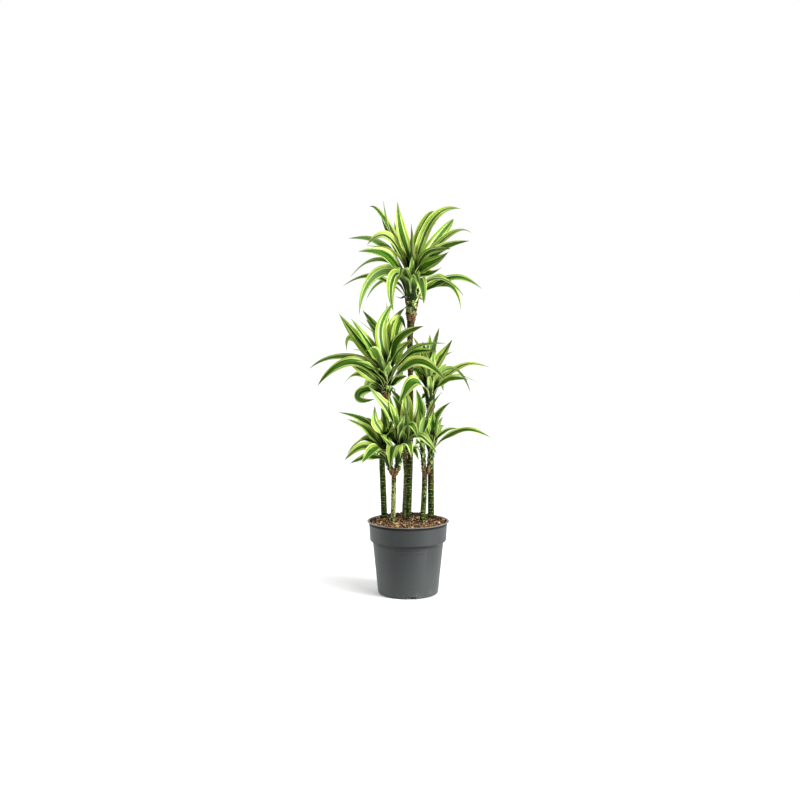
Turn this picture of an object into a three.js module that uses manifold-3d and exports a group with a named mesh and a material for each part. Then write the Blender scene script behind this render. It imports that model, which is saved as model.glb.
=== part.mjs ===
// A corn plant with six canes in a grey nursery pot.
// Millimetres, +Z up, origin on the floor under the middle of the pot, -Y towards the front.
import * as THREE from 'three';
import { mergeVertices } from 'three/addons/utils/BufferGeometryUtils.js';
import Module from 'manifold-3d';

const wasm = await Module();
wasm.setup();

// ---- Driving dimensions -------------------------------------------------------------------

const GAP = 0.3; // clearance between neighbours that touch
const DEGREE = Math.PI / 180;
const WELD = 1e-4; // points closer than this are one point
const BISECTIONS = 16;

// Pot: a thin injection-moulded shell with a band under its lip
const POT_SIDES = 36;
const POT_HEIGHT = 243;
const POT_WALL = 2;
const LIP_RADIUS = 136;
const LIP_THICKNESS = 3.5;
const LIP_UNDERCUT = 1;
const BAND_TOP_RADIUS = 130;
const BAND_FOOT_RADIUS = 126.5;
const BAND_FOOT = 179;
const STEP_RADIUS = 117.5;
const STEP_HEIGHT = 172;
const WALL_FOOT_RADIUS = 101;
const WALL_FOOT = 9;
const FOOT_RING_OUTER = 96;
const FOOT_RING_INNER = 90;
const FLOOR_UNDERSIDE = 7.5;
const CENTRE_PAD_RADIUS = 45;
const CENTRE_PAD_TAPER = 5;
const FOOT_RING_TAPER = 2;
const HEEL = [1.5, 3]; // how far in and up the outside corner under the wall is cut off
const FLOOR_CORNER = [3, 2]; // the same for the inside corner of the floor

// Openings under the pot: notches across the foot ring, and round drain holes
const NOTCH_COUNT = 3;
const NOTCH_WIDTH = 30;
const NOTCH_HEIGHT = 7;
const NOTCH_DEPTH = 20;
const FIRST_NOTCH = -84 * DEGREE;
const DRAIN_COUNT = 6;
const DRAIN_RADIUS = 7;
const DRAIN_CIRCLE = 70;
const DRAIN_SIDES = 8;

// Two short raised lines on the front of the pot, under its band: height, first and last angle
const RAISED_LINES = [[162, -110, -58], [151, -103, -58]];
const LINE_HALF_HEIGHT = 0.9;
const LINE_PROUD = 0.9;
const LINE_ROOT = 1;
const LINE_STEP = 6.5;

// Soil: a bark mix that crowns slightly in the middle and is heaped up at the back
const SOIL_EDGE = 238;
const SOIL_CENTRE = 242;
const SOIL_RINGS = [113, 97, 40];
const SOIL_HEAP = 10; // how much higher the soil is at the back of its outer ring
const SOIL_ROUGHNESS = 3;
const CHIP_COUNT = 10;
const CHIP_SIZE = [17, 9, 7];
const CHIP_SPREAD = 0.3;
const CHIP_TILT = 0.25;
const CHIP_CIRCLE = 112;
const SOIL_SEED = 7;

// Canes: points of the centre line with the radius there, from the buried end to the top
const CANE_SIDES = 8;
const RING_SPACING = 45;
const RING_PROUD = 1.05;
const RING_WAIST = 0.96;
const RING_EDGE = 2;
const BURIED_END = 150;
const STRAIGHT_UP_TO = 200; // the buried stretch has no rings
const FIRST_RING = 262;
const CANES = {
  cane_left_back: [[-79, 62, BURIED_END, 10.2], [-80.3, 60, 240, 10.2], [-83.5, 53, 340, 10],
    [-87, 45, 450, 9.5], [-81, 15, 560, 9], [-73, -10, 645, 9]],
  cane_left_front: [[-51, -19, BURIED_END, 8.2], [-50.5, -20, 241, 8.2], [-48, -24, 340, 8],
    [-47, -25, 393, 8]],
  cane_centre_back: [[-13, 60, BURIED_END, 8.5], [-12.5, 58, 240, 8.5], [-7, 50, 385, 8],
    [-9, 42, 425, 8], [-12, 30, 452, 8.5]],
  cane_centre_tall: [[-1, 31, BURIED_END, 10], [1, 30, 240, 10], [7, 27, 460, 9.5],
    [8, 25, 700, 9], [6, 19, 850, 9.5], [9, 15, 905, 13]],
  cane_right_front: [[44, -32, BURIED_END, 9.4], [47, -33, 241, 9.4], [52, -35, 330, 9],
    [54, -36, 399, 8.5]],
  cane_right_back: [[78, 61, BURIED_END, 10.6], [77.5, 60, 240, 10.6], [76.5, 55, 393, 10.4],
    [74, 50, 599, 9.5]],
};

// Leaves: lance-shaped, channelled along the midrib, half clasping the stem at the root
const LEAF_THICKNESS = 1.8;
const LEAF_ROOT_WIDTH = 0.28;
const LEAF_WIDEST = 0.4;
const LEAF_TAPER = 2.1;
const MORE_THAN_SEEN = 1.2; // a leaf is wider and turned further than it looks at first sight
const NARROW_LEAF = 29; // a leaf under this width has a flat upper face
const FOLD_ROOT = 16 * DEGREE;
const FOLD_TIP = 10 * DEGREE;
const FLAT_FROM = 0.62; // the fold has opened to its least at this share of the length
const TURNED_BY = 0.3; // a leaf has its full turn from this share of the length on
const ROOT_DEPTH = 0.55; // how far out a root starts, as a share of the stem's radius
const HANDLE_LEAST = 0.2;
const HANDLE_MOST = 0.45;
const STATIONS = [
  { under: 150, shares: [0, 0.35, 0.75, 1] },
  { under: 236, shares: [0, 0.28, 0.56, 0.81, 1] },
  { under: Infinity, shares: [0, 0.22, 0.44, 0.66, 0.86, 1] },
];
const STEM_SIDES = 5;
const STEM_ROWS = 5;

// Leaves that fill an open sector. The angles run from the oldest leaf to the youngest, with a
// spread, and the length and the width are drawn between two limits.
const GOLDEN = 0.618034;
const FILL_RISE = [40, 80];
const FILL_END = [-60, 40];
const FILL_RISE_SPREAD = 10;
const FILL_END_SPREAD = 30;
const FILL_LENGTH = [195, 235];
const FILL_WIDTH = [26, 33];
const FILL_TURN_SPREAD = 60;
const FILL_CHORD = 0.86;

// Leafy shoots. Each has the foot that its leaves are measured from, the centre line of its
// sheathed stem with the radii, and the heights between which its leaves are rooted. Its
// leaves run from the oldest to the youngest, and each has eight values: how far its tip is
// right of the foot, behind it and above it, the angles at which the leaf rises from the stem
// and arrives at its tip, its length, its width, and by how many degrees its upper side is
// turned towards the front. Half of the shoots have a few more leaves, drawn from the seed, that
// fill the sector between two compass angles.
const SHOOTS = {
  top: {
    foot: [9, 15, 930],
    stem: [[9, 15, 905 + GAP, 13], [10, 15, 940, 18], [12, 15, 985, 20], [11, 14, 1045, 12],
      [10, 14, 1095, 3]],
    roots: [970, 1084],
    seed: 11,
    fill: 7,
    sector: [15, 175],
    leaves: [
      [54, -10, 49, 45, 20, 85, 9, 30], [-49, -10, 56, 45, 30, 80, 9, 30],
      [165, 30, 11, 46, -85, 238, 34, 30], [171, -20, 59, 60, -50, 215, 28, 20],
      [233, 10, 81, 29, -38, 250, 29, 40], [-221, -15, 91, 30, -32, 256, 24, 25],
      [-148, 15, 44, 50, -62, 198, 22, 20], [-168, -50, -3, 70, -88, 310, 40, -45],
      [-57, -80, 7, 68, -114, 280, 34, 35], [40, -112, 33, 60, -85, 190, 36, 0],
      [28, -130, 91, 65, -35, 190, 24, 20], [-38, -95, 110, 60, -75, 160, 26, 0],
      [-199, 20, 119, 67, -52, 256, 24, 25], [-170, -60, 201, 54, -8, 242, 38, 50],
      [3, -40, 190, 86, 75, 140, 26, 30], [98, -50, 150, 55, 35, 170, 28, 40],
      [121, -60, 200, 62, 38, 215, 42, 60], [127, -90, 209, 72, 0, 225, 34, 45],
      [-207, 40, 246, 55, -5, 272, 28, -40], [190, -30, 236, 53, 6, 246, 32, 55],
      [200, 50, 264, 62, -38, 272, 26, 30], [-143, -40, 223, 70, -50, 240, 33, 50],
      [143, 90, 312, 66, 44, 250, 40, 60], [-138, 80, 352, 66, -18, 270, 24, 25],
      [-101, 60, 327, 68, 62, 235, 28, 60], [-90, 20, 367, 65, 85, 260, 28, 5],
      [164, 30, 342, 75, -12, 292, 30, 55], [82, 60, 335, 90, -4, 231, 28, 40],
      [56, 130, 269, 65, 20, 200, 28, 20], [-55, 90, 302, 75, 70, 215, 28, 50],
      [1, -25, 292, 80, 100, 175, 32, 60], [-44, -10, 363, 78, 87, 225, 34, 65],
    ],
  },
  mid_left: {
    foot: [-73, -5, 640],
    stem: [[-73, -10, 645 + GAP, 9.5], [-72, -9, 665, 13], [-69, -8, 705, 12],
      [-66, -7, 740, 8], [-65, -7, 768, 3]],
    roots: [668, 760],
    seed: 23,
    fill: 5,
    sector: [60, 175],
    leaves: [
      [-37, 12, 8, 22, -195, 232, 30, 60], [-62, 40, 22, 20, -80, 110, 20, 30],
      [31, 40, 20, 20, -70, 80, 16, 30], [13, -35, 39, 20, -75, 75, 18, 0],
      [-141, 60, 54, 30, -52, 180, 20, 30], [69, -40, 88, 40, 10, 105, 30, 60],
      [-135, -20, 145, 40, 35, 190, 32, 60], [191, -90, 78, 55, -50, 270, 34, 55],
      [-222, -60, 57, 56, -54, 284, 36, 40], [-253, 10, 108, 66, -40, 298, 32, 30],
      [-100, -70, 139, 50, 15, 165, 34, 30], [-130, 50, 163, 72, -98, 254, 28, 55],
      [-70, -100, 163, 65, -40, 190, 24, -10], [-31, -55, 117, 60, 30, 120, 28, 20],
      [11, -45, 140, 80, 70, 120, 26, 20], [-15, -45, 155, 80, 60, 130, 24, 20],
      [166, -40, 169, 55, -5, 215, 28, 45], [194, -60, 196, 55, 0, 250, 28, 25],
      [-154, -30, 293, 55, 55, 275, 36, 70], [-112, -60, 276, 60, 52, 255, 38, 60],
      [123, -70, 252, 80, 15, 235, 36, 60], [85, -20, 206, 68, 36, 180, 38, 60],
      [65, 38, 232, 90, -75, 238, 38, 60], [-79, 40, 301, 75, 45, 245, 32, 50],
      [-66, 0, 272, 75, 48, 215, 31, 55],
      [33, -50, 250, 80, 65, 190, 30, 60], [64, 50, 309, 88, 32, 242, 30, 55],
      [2, -20, 272, 85, 80, 165, 30, 60], [26, 20, 328, 120, 40, 256, 36, 60],
      [2, 70, 325, 106, 55, 234, 30, 50],
    ],
  },
  mid_right: {
    foot: [74, 50, 600],
    stem: [[74, 50, 599 + GAP, 10], [74, 50, 625, 14], [73, 50, 665, 13], [72, 50, 705, 8.5],
      [71, 50, 732, 3]],
    roots: [650, 722],
    seed: 37,
    fill: 6,
    sector: [0, 150],
    leaves: [
      [-34, -10, 45, 30, -20, 60, 16, 40], [-105, -110, 38, 52, -52, 228, 42, 30],
      [124, -60, 114, 50, -8, 166, 25, 40], [6, -60, 103, 70, -85, 115, 24, 20],
      [67, 40, 134, 55, 20, 145, 26, 40], [132, -40, 69, 70, -70, 245, 28, -30],
      [57, 60, 157, 60, 20, 140, 26, 40], [-88, 30, 139, 50, -10, 160, 26, 40],
      [199, 20, 148, 34, -20, 227, 22, 30], [-57, 40, 205, 62, 55, 185, 28, 50],
      [-86, 70, 224, 62, 30, 225, 28, 50], [-19, -50, 211, 78, 70, 150, 28, 10],
      [11, -40, 210, 78, 70, 145, 28, 10], [-58, 30, 251, 72, 55, 200, 26, 20],
      [-25, 60, 235, 75, 60, 185, 26, 20], [73, -20, 245, 68, 58, 190, 30, 60],
      [3, 40, 246, 82, 75, 160, 28, 50], [29, -10, 283, 85, 75, 180, 32, 50],
    ],
  },
  low_left_outer: {
    foot: [-63, -30, 440],
    stem: [[-50, -26, 398, 7], [-60, -29, 425, 8.5], [-66, -32, 460, 9.5], [-71, -34, 500, 9],
      [-73, -35, 535, 3]],
    roots: [450, 528],
    seed: 41,
    leaves: [
      [-128, -5, -1, 18, -28, 142, 26, 35], [-41, -90, 39, 45, -20, 115, 22, 20],
      [-145, -50, 16, 38, -45, 183, 30, 40], [-138, 20, 28, 50, -55, 185, 26, 20],
      [-118, 40, 57, 50, -40, 170, 24, 15], [-86, -110, 16, 25, -40, 160, 34, 30],
      [-137, -20, 148, 45, 20, 200, 28, 50], [-167, 10, 167, 55, 10, 225, 26, 30],
      [-88, 60, 144, 55, 30, 165, 24, 30], [-36, -80, 112, 60, 20, 130, 18, 20],
      [-75, 90, 142, 60, 20, 150, 24, 20], [-27, 0, 184, 75, 65, 155, 30, 60],
      [-46, -20, 192, 65, 95, 165, 32, 65], [12, -15, 150, 82, 75, 125, 34, 60],
      [-13, 2, 162, 80, 70, 130, 34, 60],
    ],
  },
  low_left_inner: {
    foot: [-32, -30, 440],
    stem: [[-44, -26, 398, 7], [-35, -30, 425, 8.5], [-31, -34, 460, 9.5], [-30, -38, 500, 9],
      [-30, -40, 535, 3]],
    roots: [450, 528],
    seed: 53,
    leaves: [
      [-26, -95, -4, 65, -85, 190, 38, 0], [-10, -80, 27, 60, -75, 140, 34, 0],
      [42, -70, 26, 60, -85, 150, 26, 10], [-66, -50, 108, 45, 45, 115, 22, 40],
      [125, -80, 40, 55, -55, 200, 28, 30],
      [22, -2, 133, 80, 60, 145, 36, 60], [-52, 8, 136, 58, 62, 150, 38, 60],
      [62, -60, 90, 75, -75, 165, 32, 20], [21, -50, 168, 75, 55, 150, 24, 10],
      [-32, -20, 238, 85, 80, 185, 28, 50], [-100, -50, 263, 72, 50, 265, 32, 60],
    ],
  },
  low_centre: {
    foot: [-4, 5, 460],
    stem: [[-11, 27, 456, 7], [-6, 8, 472, 8.5], [-2, -8, 490, 9.5], [3, -15, 515, 9],
      [6, -18, 548, 3]],
    roots: [482, 538],
    seed: 67,
    fill: 3,
    sector: [116, 132],
    leaves: [
      [38, -52, -8, 20, -60, 80, 14, 20], [78, -30, 58, 78, -75, 165, 28, 30],
      [-50, -10, 202, 72, 50, 175, 31, 65], [-14, -40, 181, 75, 60, 130, 24, 10],
      [-12, -15, 231, 76, 70, 175, 36, 60], [30, -18, 223, 62, 108, 172, 32, 70],
    ],
  },
  low_right_inner: {
    foot: [49, -40, 452],
    stem: [[53, -36, 404, 6.5], [50, -38, 435, 5.5], [49, -40, 462, 6], [45, -43, 500, 6.5],
      [43, -45, 532, 3]],
    roots: [468, 524],
    seed: 71,
    leaves: [
      [-38, -34, 40, 45, -25, 75, 22, 30], [-27, -62, 58, 72, -20, 90, 24, 30],
      [16, -70, 137, 80, -30, 150, 28, 20],
      [61, -30, 228, 72, 48, 205, 26, 30], [-14, 20, 169, 80, 70, 130, 24, 20],
    ],
  },
  low_right_outer: {
    foot: [77, -42, 452],
    stem: [[57, -36, 404, 7], [68, -38, 420, 7.5], [73, -40, 445, 7.5], [76, -42, 470, 8],
      [76, -44, 505, 8], [76, -45, 536, 3]],
    roots: [470, 526],
    seed: 83,
    leaves: [
      [-45, 90, 70, 55, -40, 160, 26, 0], [39, 60, 137, 65, 30, 135, 18, 30],
      [50, 115, 100, 60, -10, 175, 26, 10], [192, -30, 77, 37, -30, 213, 25, 30],
      [63, 10, 191, 82, 35, 185, 26, 30], [87, 30, 102, 40, 0, 105, 20, 20],
      [17, 20, 146, 80, 70, 120, 24, 20], [6, 4, 165, 85, 80, 145, 30, 40],
    ],
  },
};

// Crowns: the shoots that grow from one cane top, and the stub that they spring from, if any
const CROWNS = {
  crown_top: { shoots: ['top'] },
  crown_mid_left: { shoots: ['mid_left'] },
  crown_mid_right: { shoots: ['mid_right'] },
  crown_low_left: {
    shoots: ['low_left_outer', 'low_left_inner'],
    stub: [[-47, -25, 393 + GAP, 8], [-47, -25, 405, 8]],
  },
  crown_low_centre: {
    shoots: ['low_centre'],
    stub: [[-12, 30, 452 + GAP, 8.5], [-12, 28, 464, 8]],
  },
  crown_low_right: {
    shoots: ['low_right_inner', 'low_right_outer'],
    stub: [[54, -36, 399 + GAP, 8.5], [54, -36, 411, 8]],
  },
};

const COLOURS = {
  pot: [0x4a5252, 0.55],
  soil: [0x5a3520, 0.95],
  cane: [0x4c5a33, 0.75],
  cane_pale: [0x8c8a5a, 0.75],
  cane_brown: [0x5c4a30, 0.8],
  leaf: [0x7fa83a, 0.45],
};

// ---- Shared geometry ------------------------------------------------------------------------

// A run of seeded draws between 0 and 1
function drawsFrom(seed) {
  let state = seed;
  return () => {
    state = (state * 16807) % 2147483647;
    return state / 2147483647;
  };
}

// A closed skin over rings of points. A ring of one point is a tip. The quads of the second
// half of the ring are split the other way round, so that a blade's two faces are split alike.
function loft(rings) {
  const points = rings.flat();
  const starts = [];
  let next = 0;
  for (const ring of rings) {
    starts.push(next);
    next += ring.length;
  }
  const faces = [];
  for (let i = 0; i + 1 < rings.length; i += 1) {
    const count = Math.max(rings[i].length, rings[i + 1].length);
    const at = (row, j) => starts[row] + (rings[row].length === 1 ? 0 : j % count);
    for (let j = 0; j < count; j += 1) {
      const [a, b, c, d] = [at(i, j), at(i, j + 1), at(i + 1, j + 1), at(i + 1, j)];
      const split = j < count / 2 ? [[a, b, c], [a, c, d]] : [[a, b, d], [b, c, d]];
      faces.push(...split.filter(([p, q, r]) => p !== q && q !== r && r !== p));
    }
  }
  const last = rings.length - 1;
  for (let j = 1; j + 1 < rings[0].length; j += 1) {
    faces.push([starts[0], starts[0] + j + 1, starts[0] + j]);
  }
  for (let j = 1; j + 1 < rings[last].length; j += 1) {
    faces.push([starts[last], starts[last] + j, starts[last] + j + 1]);
  }
  const geometry = new THREE.BufferGeometry();
  geometry.setAttribute('position',
    new THREE.Float32BufferAttribute(points.flatMap((point) => point.toArray()), 3));
  geometry.setIndex(faces.flat());
  return geometry;
}

// A geometry as a solid that can be cut and joined
function solid(geometry) {
  const bare = geometry.clone();
  bare.deleteAttribute('normal');
  bare.deleteAttribute('uv');
  const merged = mergeVertices(bare, WELD);
  return new wasm.Manifold(new wasm.Mesh({
    numProp: 3,
    vertProperties: new Float32Array(merged.attributes.position.array),
    triVerts: new Uint32Array(merged.index.array),
  }));
}

// The outside of a joined solid as a geometry. The hollows that joining seals are filled.
function surface(joined) {
  const bodies = joined.decompose().sort((one, other) => other.volume() - one.volume());
  const mesh = bodies[0].getMesh();
  const geometry = new THREE.BufferGeometry();
  geometry.setAttribute('position',
    new THREE.Float32BufferAttribute(Float32Array.from(mesh.vertProperties), 3));
  geometry.setIndex(Array.from(mesh.triVerts));
  return geometry;
}

// A named piece with a material of its own
function piece(name, geometry, colour) {
  const flat = geometry.toNonIndexed();
  flat.computeVertexNormals();
  const [tint, roughness] = COLOURS[colour];
  const material = new THREE.MeshStandardMaterial({
    color: tint, roughness, metalness: 0, flatShading: true,
  });
  const mesh = new THREE.Mesh(flat, material);
  mesh.name = name;
  return mesh;
}

// A smooth centre line through points that carry a radius. at(height) gives place and radius.
function stemLine(points) {
  const places = points.map(([x, y, z]) => new THREE.Vector3(x, y, z));
  const curve = new THREE.CatmullRomCurve3(places, false, 'catmullrom', 0.5);
  const spans = points.length - 1;
  const at = (height) => {
    const above = points.findIndex(([, , z], i) => i > 0 && z >= height);
    const end = above < 0 ? spans : above;
    const [from, to] = [points[end - 1], points[end]];
    const share = THREE.MathUtils.clamp((height - from[2]) / (to[2] - from[2]), 0, 1);
    const place = curve.getPoint((end - 1 + share) / spans).setZ(height);
    return { place, radius: THREE.MathUtils.lerp(from[3], to[3], share) };
  };
  return { at, foot: points[0][2], top: points[spans][2] };
}

// A level ring of points round a place
function levelRing(place, radius, sides) {
  return Array.from({ length: sides }, (unused, j) => {
    const angle = (2 * Math.PI * j) / sides;
    return new THREE.Vector3(
      place.x + radius * Math.cos(angle), place.y + radius * Math.sin(angle), place.z);
  });
}

// A round stem along a centre line: rows of height, scale of the radius and addition to it
function stemSkin(line, rows, sides) {
  return loft(rows.map(([height, scale, more]) => {
    const { place, radius } = line.at(height);
    return levelRing(place, radius * scale + more, sides);
  }));
}

// A plain stem over its whole length
function plainStem(points, count) {
  const line = stemLine(points);
  const rows = Array.from({ length: count + 1 }, (unused, i) =>
    [THREE.MathUtils.lerp(line.foot, line.top, i / count), 1, 0]);
  return solid(stemSkin(line, rows, STEM_SIDES));
}

// ---- Pot ----------------------------------------------------------------------------------

// The radius of the tapered wall's outside at a height between its foot and the band
function wallRadius(height) {
  const share = (height - WALL_FOOT) / (STEP_HEIGHT - WALL_FOOT);
  return THREE.MathUtils.lerp(WALL_FOOT_RADIUS, STEP_RADIUS, share);
}

function potShell() {
  const floor = FLOOR_UNDERSIDE + POT_WALL;
  const outside = [
    [0, 0], [CENTRE_PAD_RADIUS, 0], [CENTRE_PAD_RADIUS + CENTRE_PAD_TAPER, FLOOR_UNDERSIDE],
    [FOOT_RING_INNER - FOOT_RING_TAPER, FLOOR_UNDERSIDE], [FOOT_RING_INNER, 0],
    [FOOT_RING_OUTER, 0], [WALL_FOOT_RADIUS - HEEL[0], HEEL[1]], [WALL_FOOT_RADIUS, WALL_FOOT],
    [STEP_RADIUS, STEP_HEIGHT], [BAND_FOOT_RADIUS, BAND_FOOT],
    [BAND_TOP_RADIUS, POT_HEIGHT - LIP_THICKNESS],
    [LIP_RADIUS, POT_HEIGHT - LIP_THICKNESS + LIP_UNDERCUT], [LIP_RADIUS, POT_HEIGHT],
  ];
  const inside = [
    [BAND_TOP_RADIUS - POT_WALL, POT_HEIGHT],
    [BAND_FOOT_RADIUS - POT_WALL, BAND_FOOT + POT_WALL],
    [STEP_RADIUS - POT_WALL, STEP_HEIGHT + POT_WALL / 2],
    [WALL_FOOT_RADIUS - POT_WALL, floor + FLOOR_CORNER[1]],
    [WALL_FOOT_RADIUS - POT_WALL - FLOOR_CORNER[0], floor],
    [CENTRE_PAD_RADIUS + CENTRE_PAD_TAPER - POT_WALL / 2, floor],
    [CENTRE_PAD_RADIUS - POT_WALL / 2, POT_WALL], [0, POT_WALL],
  ];
  const profile = [...outside, ...inside].map(([r, z]) => new THREE.Vector2(r, z));
  return solid(new THREE.LatheGeometry(profile, POT_SIDES).rotateX(Math.PI / 2));
}

// A raised line along the wall between two compass angles
function raisedLine(height, first, last) {
  const at = (angle, radius, rise) => new THREE.Vector3(
    radius * Math.cos(angle * DEGREE), radius * Math.sin(angle * DEGREE), height + rise);
  const root = wallRadius(height) - LINE_ROOT;
  const crest = wallRadius(height) + LINE_PROUD;
  const count = Math.ceil((last - first) / LINE_STEP);
  const rings = Array.from({ length: count + 1 }, (unused, i) => {
    const angle = THREE.MathUtils.lerp(first, last, i / count);
    return [at(angle, root, -LINE_HALF_HEIGHT), at(angle, crest, 0),
      at(angle, root, LINE_HALF_HEIGHT)];
  });
  return solid(loft(rings));
}

function pot() {
  let body = potShell();
  for (let i = 0; i < NOTCH_COUNT; i += 1) {
    const notch = new THREE.BoxGeometry(NOTCH_DEPTH, NOTCH_WIDTH, 2 * NOTCH_HEIGHT);
    notch.translate((FOOT_RING_OUTER + FOOT_RING_INNER) / 2, 0, 0);
    notch.rotateZ(FIRST_NOTCH + (2 * Math.PI * i) / NOTCH_COUNT);
    body = body.subtract(solid(notch));
  }
  for (let i = 0; i < DRAIN_COUNT; i += 1) {
    const drain = new THREE.CylinderGeometry(
      DRAIN_RADIUS, DRAIN_RADIUS, 4 * FLOOR_UNDERSIDE, DRAIN_SIDES);
    drain.rotateX(Math.PI / 2);
    drain.translate(DRAIN_CIRCLE, 0, 0);
    drain.rotateZ((2 * Math.PI * (i + 0.5)) / DRAIN_COUNT);
    body = body.subtract(solid(drain));
  }
  for (const line of RAISED_LINES) body = body.add(raisedLine(...line));
  return piece('pot', surface(body), 'pot');
}

// ---- Soil ---------------------------------------------------------------------------------

// How high the soil stands at a distance from the pot's middle and behind it
function soilHeight(radius, behind) {
  const share = radius / (BAND_TOP_RADIUS - POT_WALL);
  const [crest, foot] = SOIL_RINGS;
  const heap = Math.max(0, (radius - foot) / (crest - foot)) * SOIL_HEAP;
  return SOIL_CENTRE - (SOIL_CENTRE - SOIL_EDGE) * share * share
    + heap * Math.sqrt(Math.max(0, behind) / radius);
}

function soilFill(draw) {
  const floor = FLOOR_UNDERSIDE + POT_WALL + GAP;
  const inset = POT_WALL + GAP;
  const pad = CENTRE_PAD_RADIUS - POT_WALL / 2 - GAP;
  const filled = [
    [pad, inset], [pad + CENTRE_PAD_TAPER, floor],
    [WALL_FOOT_RADIUS - inset - FLOOR_CORNER[0], floor],
    [WALL_FOOT_RADIUS - inset, floor + FLOOR_CORNER[1]],
    [STEP_RADIUS - inset, STEP_HEIGHT + POT_WALL / 2],
    [BAND_FOOT_RADIUS - inset, BAND_FOOT + inset], [BAND_TOP_RADIUS - inset - GAP, SOIL_EDGE],
  ];
  const rings = filled.map(([radius, height]) =>
    levelRing(new THREE.Vector3(0, 0, height), radius, POT_SIDES));
  for (const radius of SOIL_RINGS) {
    const ring = levelRing(new THREE.Vector3(), radius, POT_SIDES / 2);
    for (const point of ring) {
      point.z = soilHeight(radius, point.y) + SOIL_ROUGHNESS * (draw() - 0.5);
    }
    rings.push(ring.flatMap((point, j) => {
      const after = ring[(j + 1) % ring.length];
      return [point, point.clone().lerp(after, 0.5)];
    }));
  }
  return solid(loft(rings));
}

// A bark chip, half sunk in the soil
function barkChip(draw) {
  const about = (middle, spread) => middle + spread * (2 * draw() - 1);
  const angle = 2 * Math.PI * draw();
  const radius = CHIP_CIRCLE * Math.sqrt(draw());
  const [length, width, height] = CHIP_SIZE.map((size) => size * about(1, CHIP_SPREAD));
  const chip = new THREE.BoxGeometry(length, width, height);
  chip.rotateX(about(0, CHIP_TILT));
  chip.rotateY(about(0, CHIP_TILT));
  chip.rotateZ(Math.PI * draw());
  const behind = radius * Math.sin(angle);
  chip.translate(radius * Math.cos(angle), behind, soilHeight(radius, behind));
  return solid(chip);
}

function soil() {
  const draw = drawsFrom(SOIL_SEED);
  let body = soilFill(draw);
  for (let i = 0; i < CHIP_COUNT; i += 1) body = body.add(barkChip(draw));
  const holeHeights = [BURIED_END - GAP, STRAIGHT_UP_TO, FIRST_RING];
  const holeRows = holeHeights.map((height) => [height, RING_PROUD, GAP]);
  for (const points of Object.values(CANES)) {
    body = body.subtract(solid(stemSkin(stemLine(points), holeRows, CANE_SIDES)));
  }
  return piece('soil', surface(body), 'soil');
}

// ---- Canes --------------------------------------------------------------------------------

// A cane with the ring scars of its fallen leaves above the soil
function cane(name, points, colour) {
  const line = stemLine(points);
  const rows = [[BURIED_END, 1, 0], [STRAIGHT_UP_TO, 1, 0]];
  for (let height = FIRST_RING; height < line.top - RING_SPACING / 2; height += RING_SPACING) {
    rows.push([height, RING_PROUD, 0], [height + RING_EDGE, RING_WAIST, 0]);
  }
  rows.push([line.top, 1, 0]);
  return piece(name, stemSkin(line, rows, CANE_SIDES), colour);
}

// ---- Leafy crowns ---------------------------------------------------------------------------

// The width of a leaf at a share of its length, as a share of its greatest width
function leafOutline(share) {
  if (share < LEAF_WIDEST) {
    const rise = Math.sin((Math.PI / 2) * (share / LEAF_WIDEST));
    return LEAF_ROOT_WIDTH + (1 - LEAF_ROOT_WIDTH) * rise;
  }
  return 1 - ((share - LEAF_WIDEST) / (1 - LEAF_WIDEST)) ** LEAF_TAPER;
}

// The midrib of a leaf, in the upright plane through its root and its tip. The handles of the
// curve are as long as gives the leaf its true length.
function midrib(reach, climb, rise, end, length) {
  const lift = rise * DEGREE;
  const fall = end * DEGREE;
  const bend = (handle) => new THREE.CubicBezierCurve(
    new THREE.Vector2(0, 0),
    new THREE.Vector2(handle * Math.cos(lift), handle * Math.sin(lift)),
    new THREE.Vector2(reach - handle * Math.cos(fall), climb - handle * Math.sin(fall)),
    new THREE.Vector2(reach, climb));
  let low = HANDLE_LEAST * length;
  let high = HANDLE_MOST * length;
  for (let i = 0; i < BISECTIONS; i += 1) {
    const middle = (low + high) / 2;
    if (bend(middle).getLength() < length) low = middle;
    else high = middle;
  }
  return bend((low + high) / 2);
}

// One leaf as a channelled blade. Each station has the two edges, the groove of the midrib
// between them and the keel below it; a narrow leaf has no groove.
function leafBlade({ place, radius }, tip, rise, end, length, width, turn) {
  const away = new THREE.Vector3(tip.x - place.x, tip.y - place.y, 0).normalize();
  const root = place.clone().addScaledVector(away, ROOT_DEPTH * radius);
  const reach = away.dot(tip.clone().sub(root));
  const rib = midrib(reach, tip.z - root.z, rise, end, length);
  const { shares } = STATIONS.find(({ under }) => length < under);
  const rings = shares.map((share) => {
    const point = rib.getPoint(share);
    const centre = root.clone().addScaledVector(away, point.x);
    centre.z += point.y;
    if (share === 1) return [centre];
    const slope = rib.getTangent(share);
    const along = away.clone().multiplyScalar(slope.x).setZ(slope.y);
    const face = away.clone().multiplyScalar(-slope.y).setZ(slope.x);
    const most = Math.sign(away.x) * MORE_THAN_SEEN * turn * DEGREE;
    const turned = most * Math.min(1, share / TURNED_BY);
    face.applyAxisAngle(along, turned);
    const side = face.clone().cross(along);
    const half = MORE_THAN_SEEN * (width / 2) * leafOutline(share);
    const fold = THREE.MathUtils.lerp(FOLD_ROOT, FOLD_TIP, Math.min(1, share / FLAT_FROM));
    const edge = (sign) => centre.clone()
      .addScaledVector(side, sign * half * Math.cos(fold))
      .addScaledVector(face, half * Math.sin(fold));
    const keel = centre.clone().addScaledVector(face, -LEAF_THICKNESS);
    return width < NARROW_LEAF ? [edge(1), edge(-1), keel] : [edge(1), centre, edge(-1), keel];
  });
  return solid(loft(rings));
}

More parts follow.
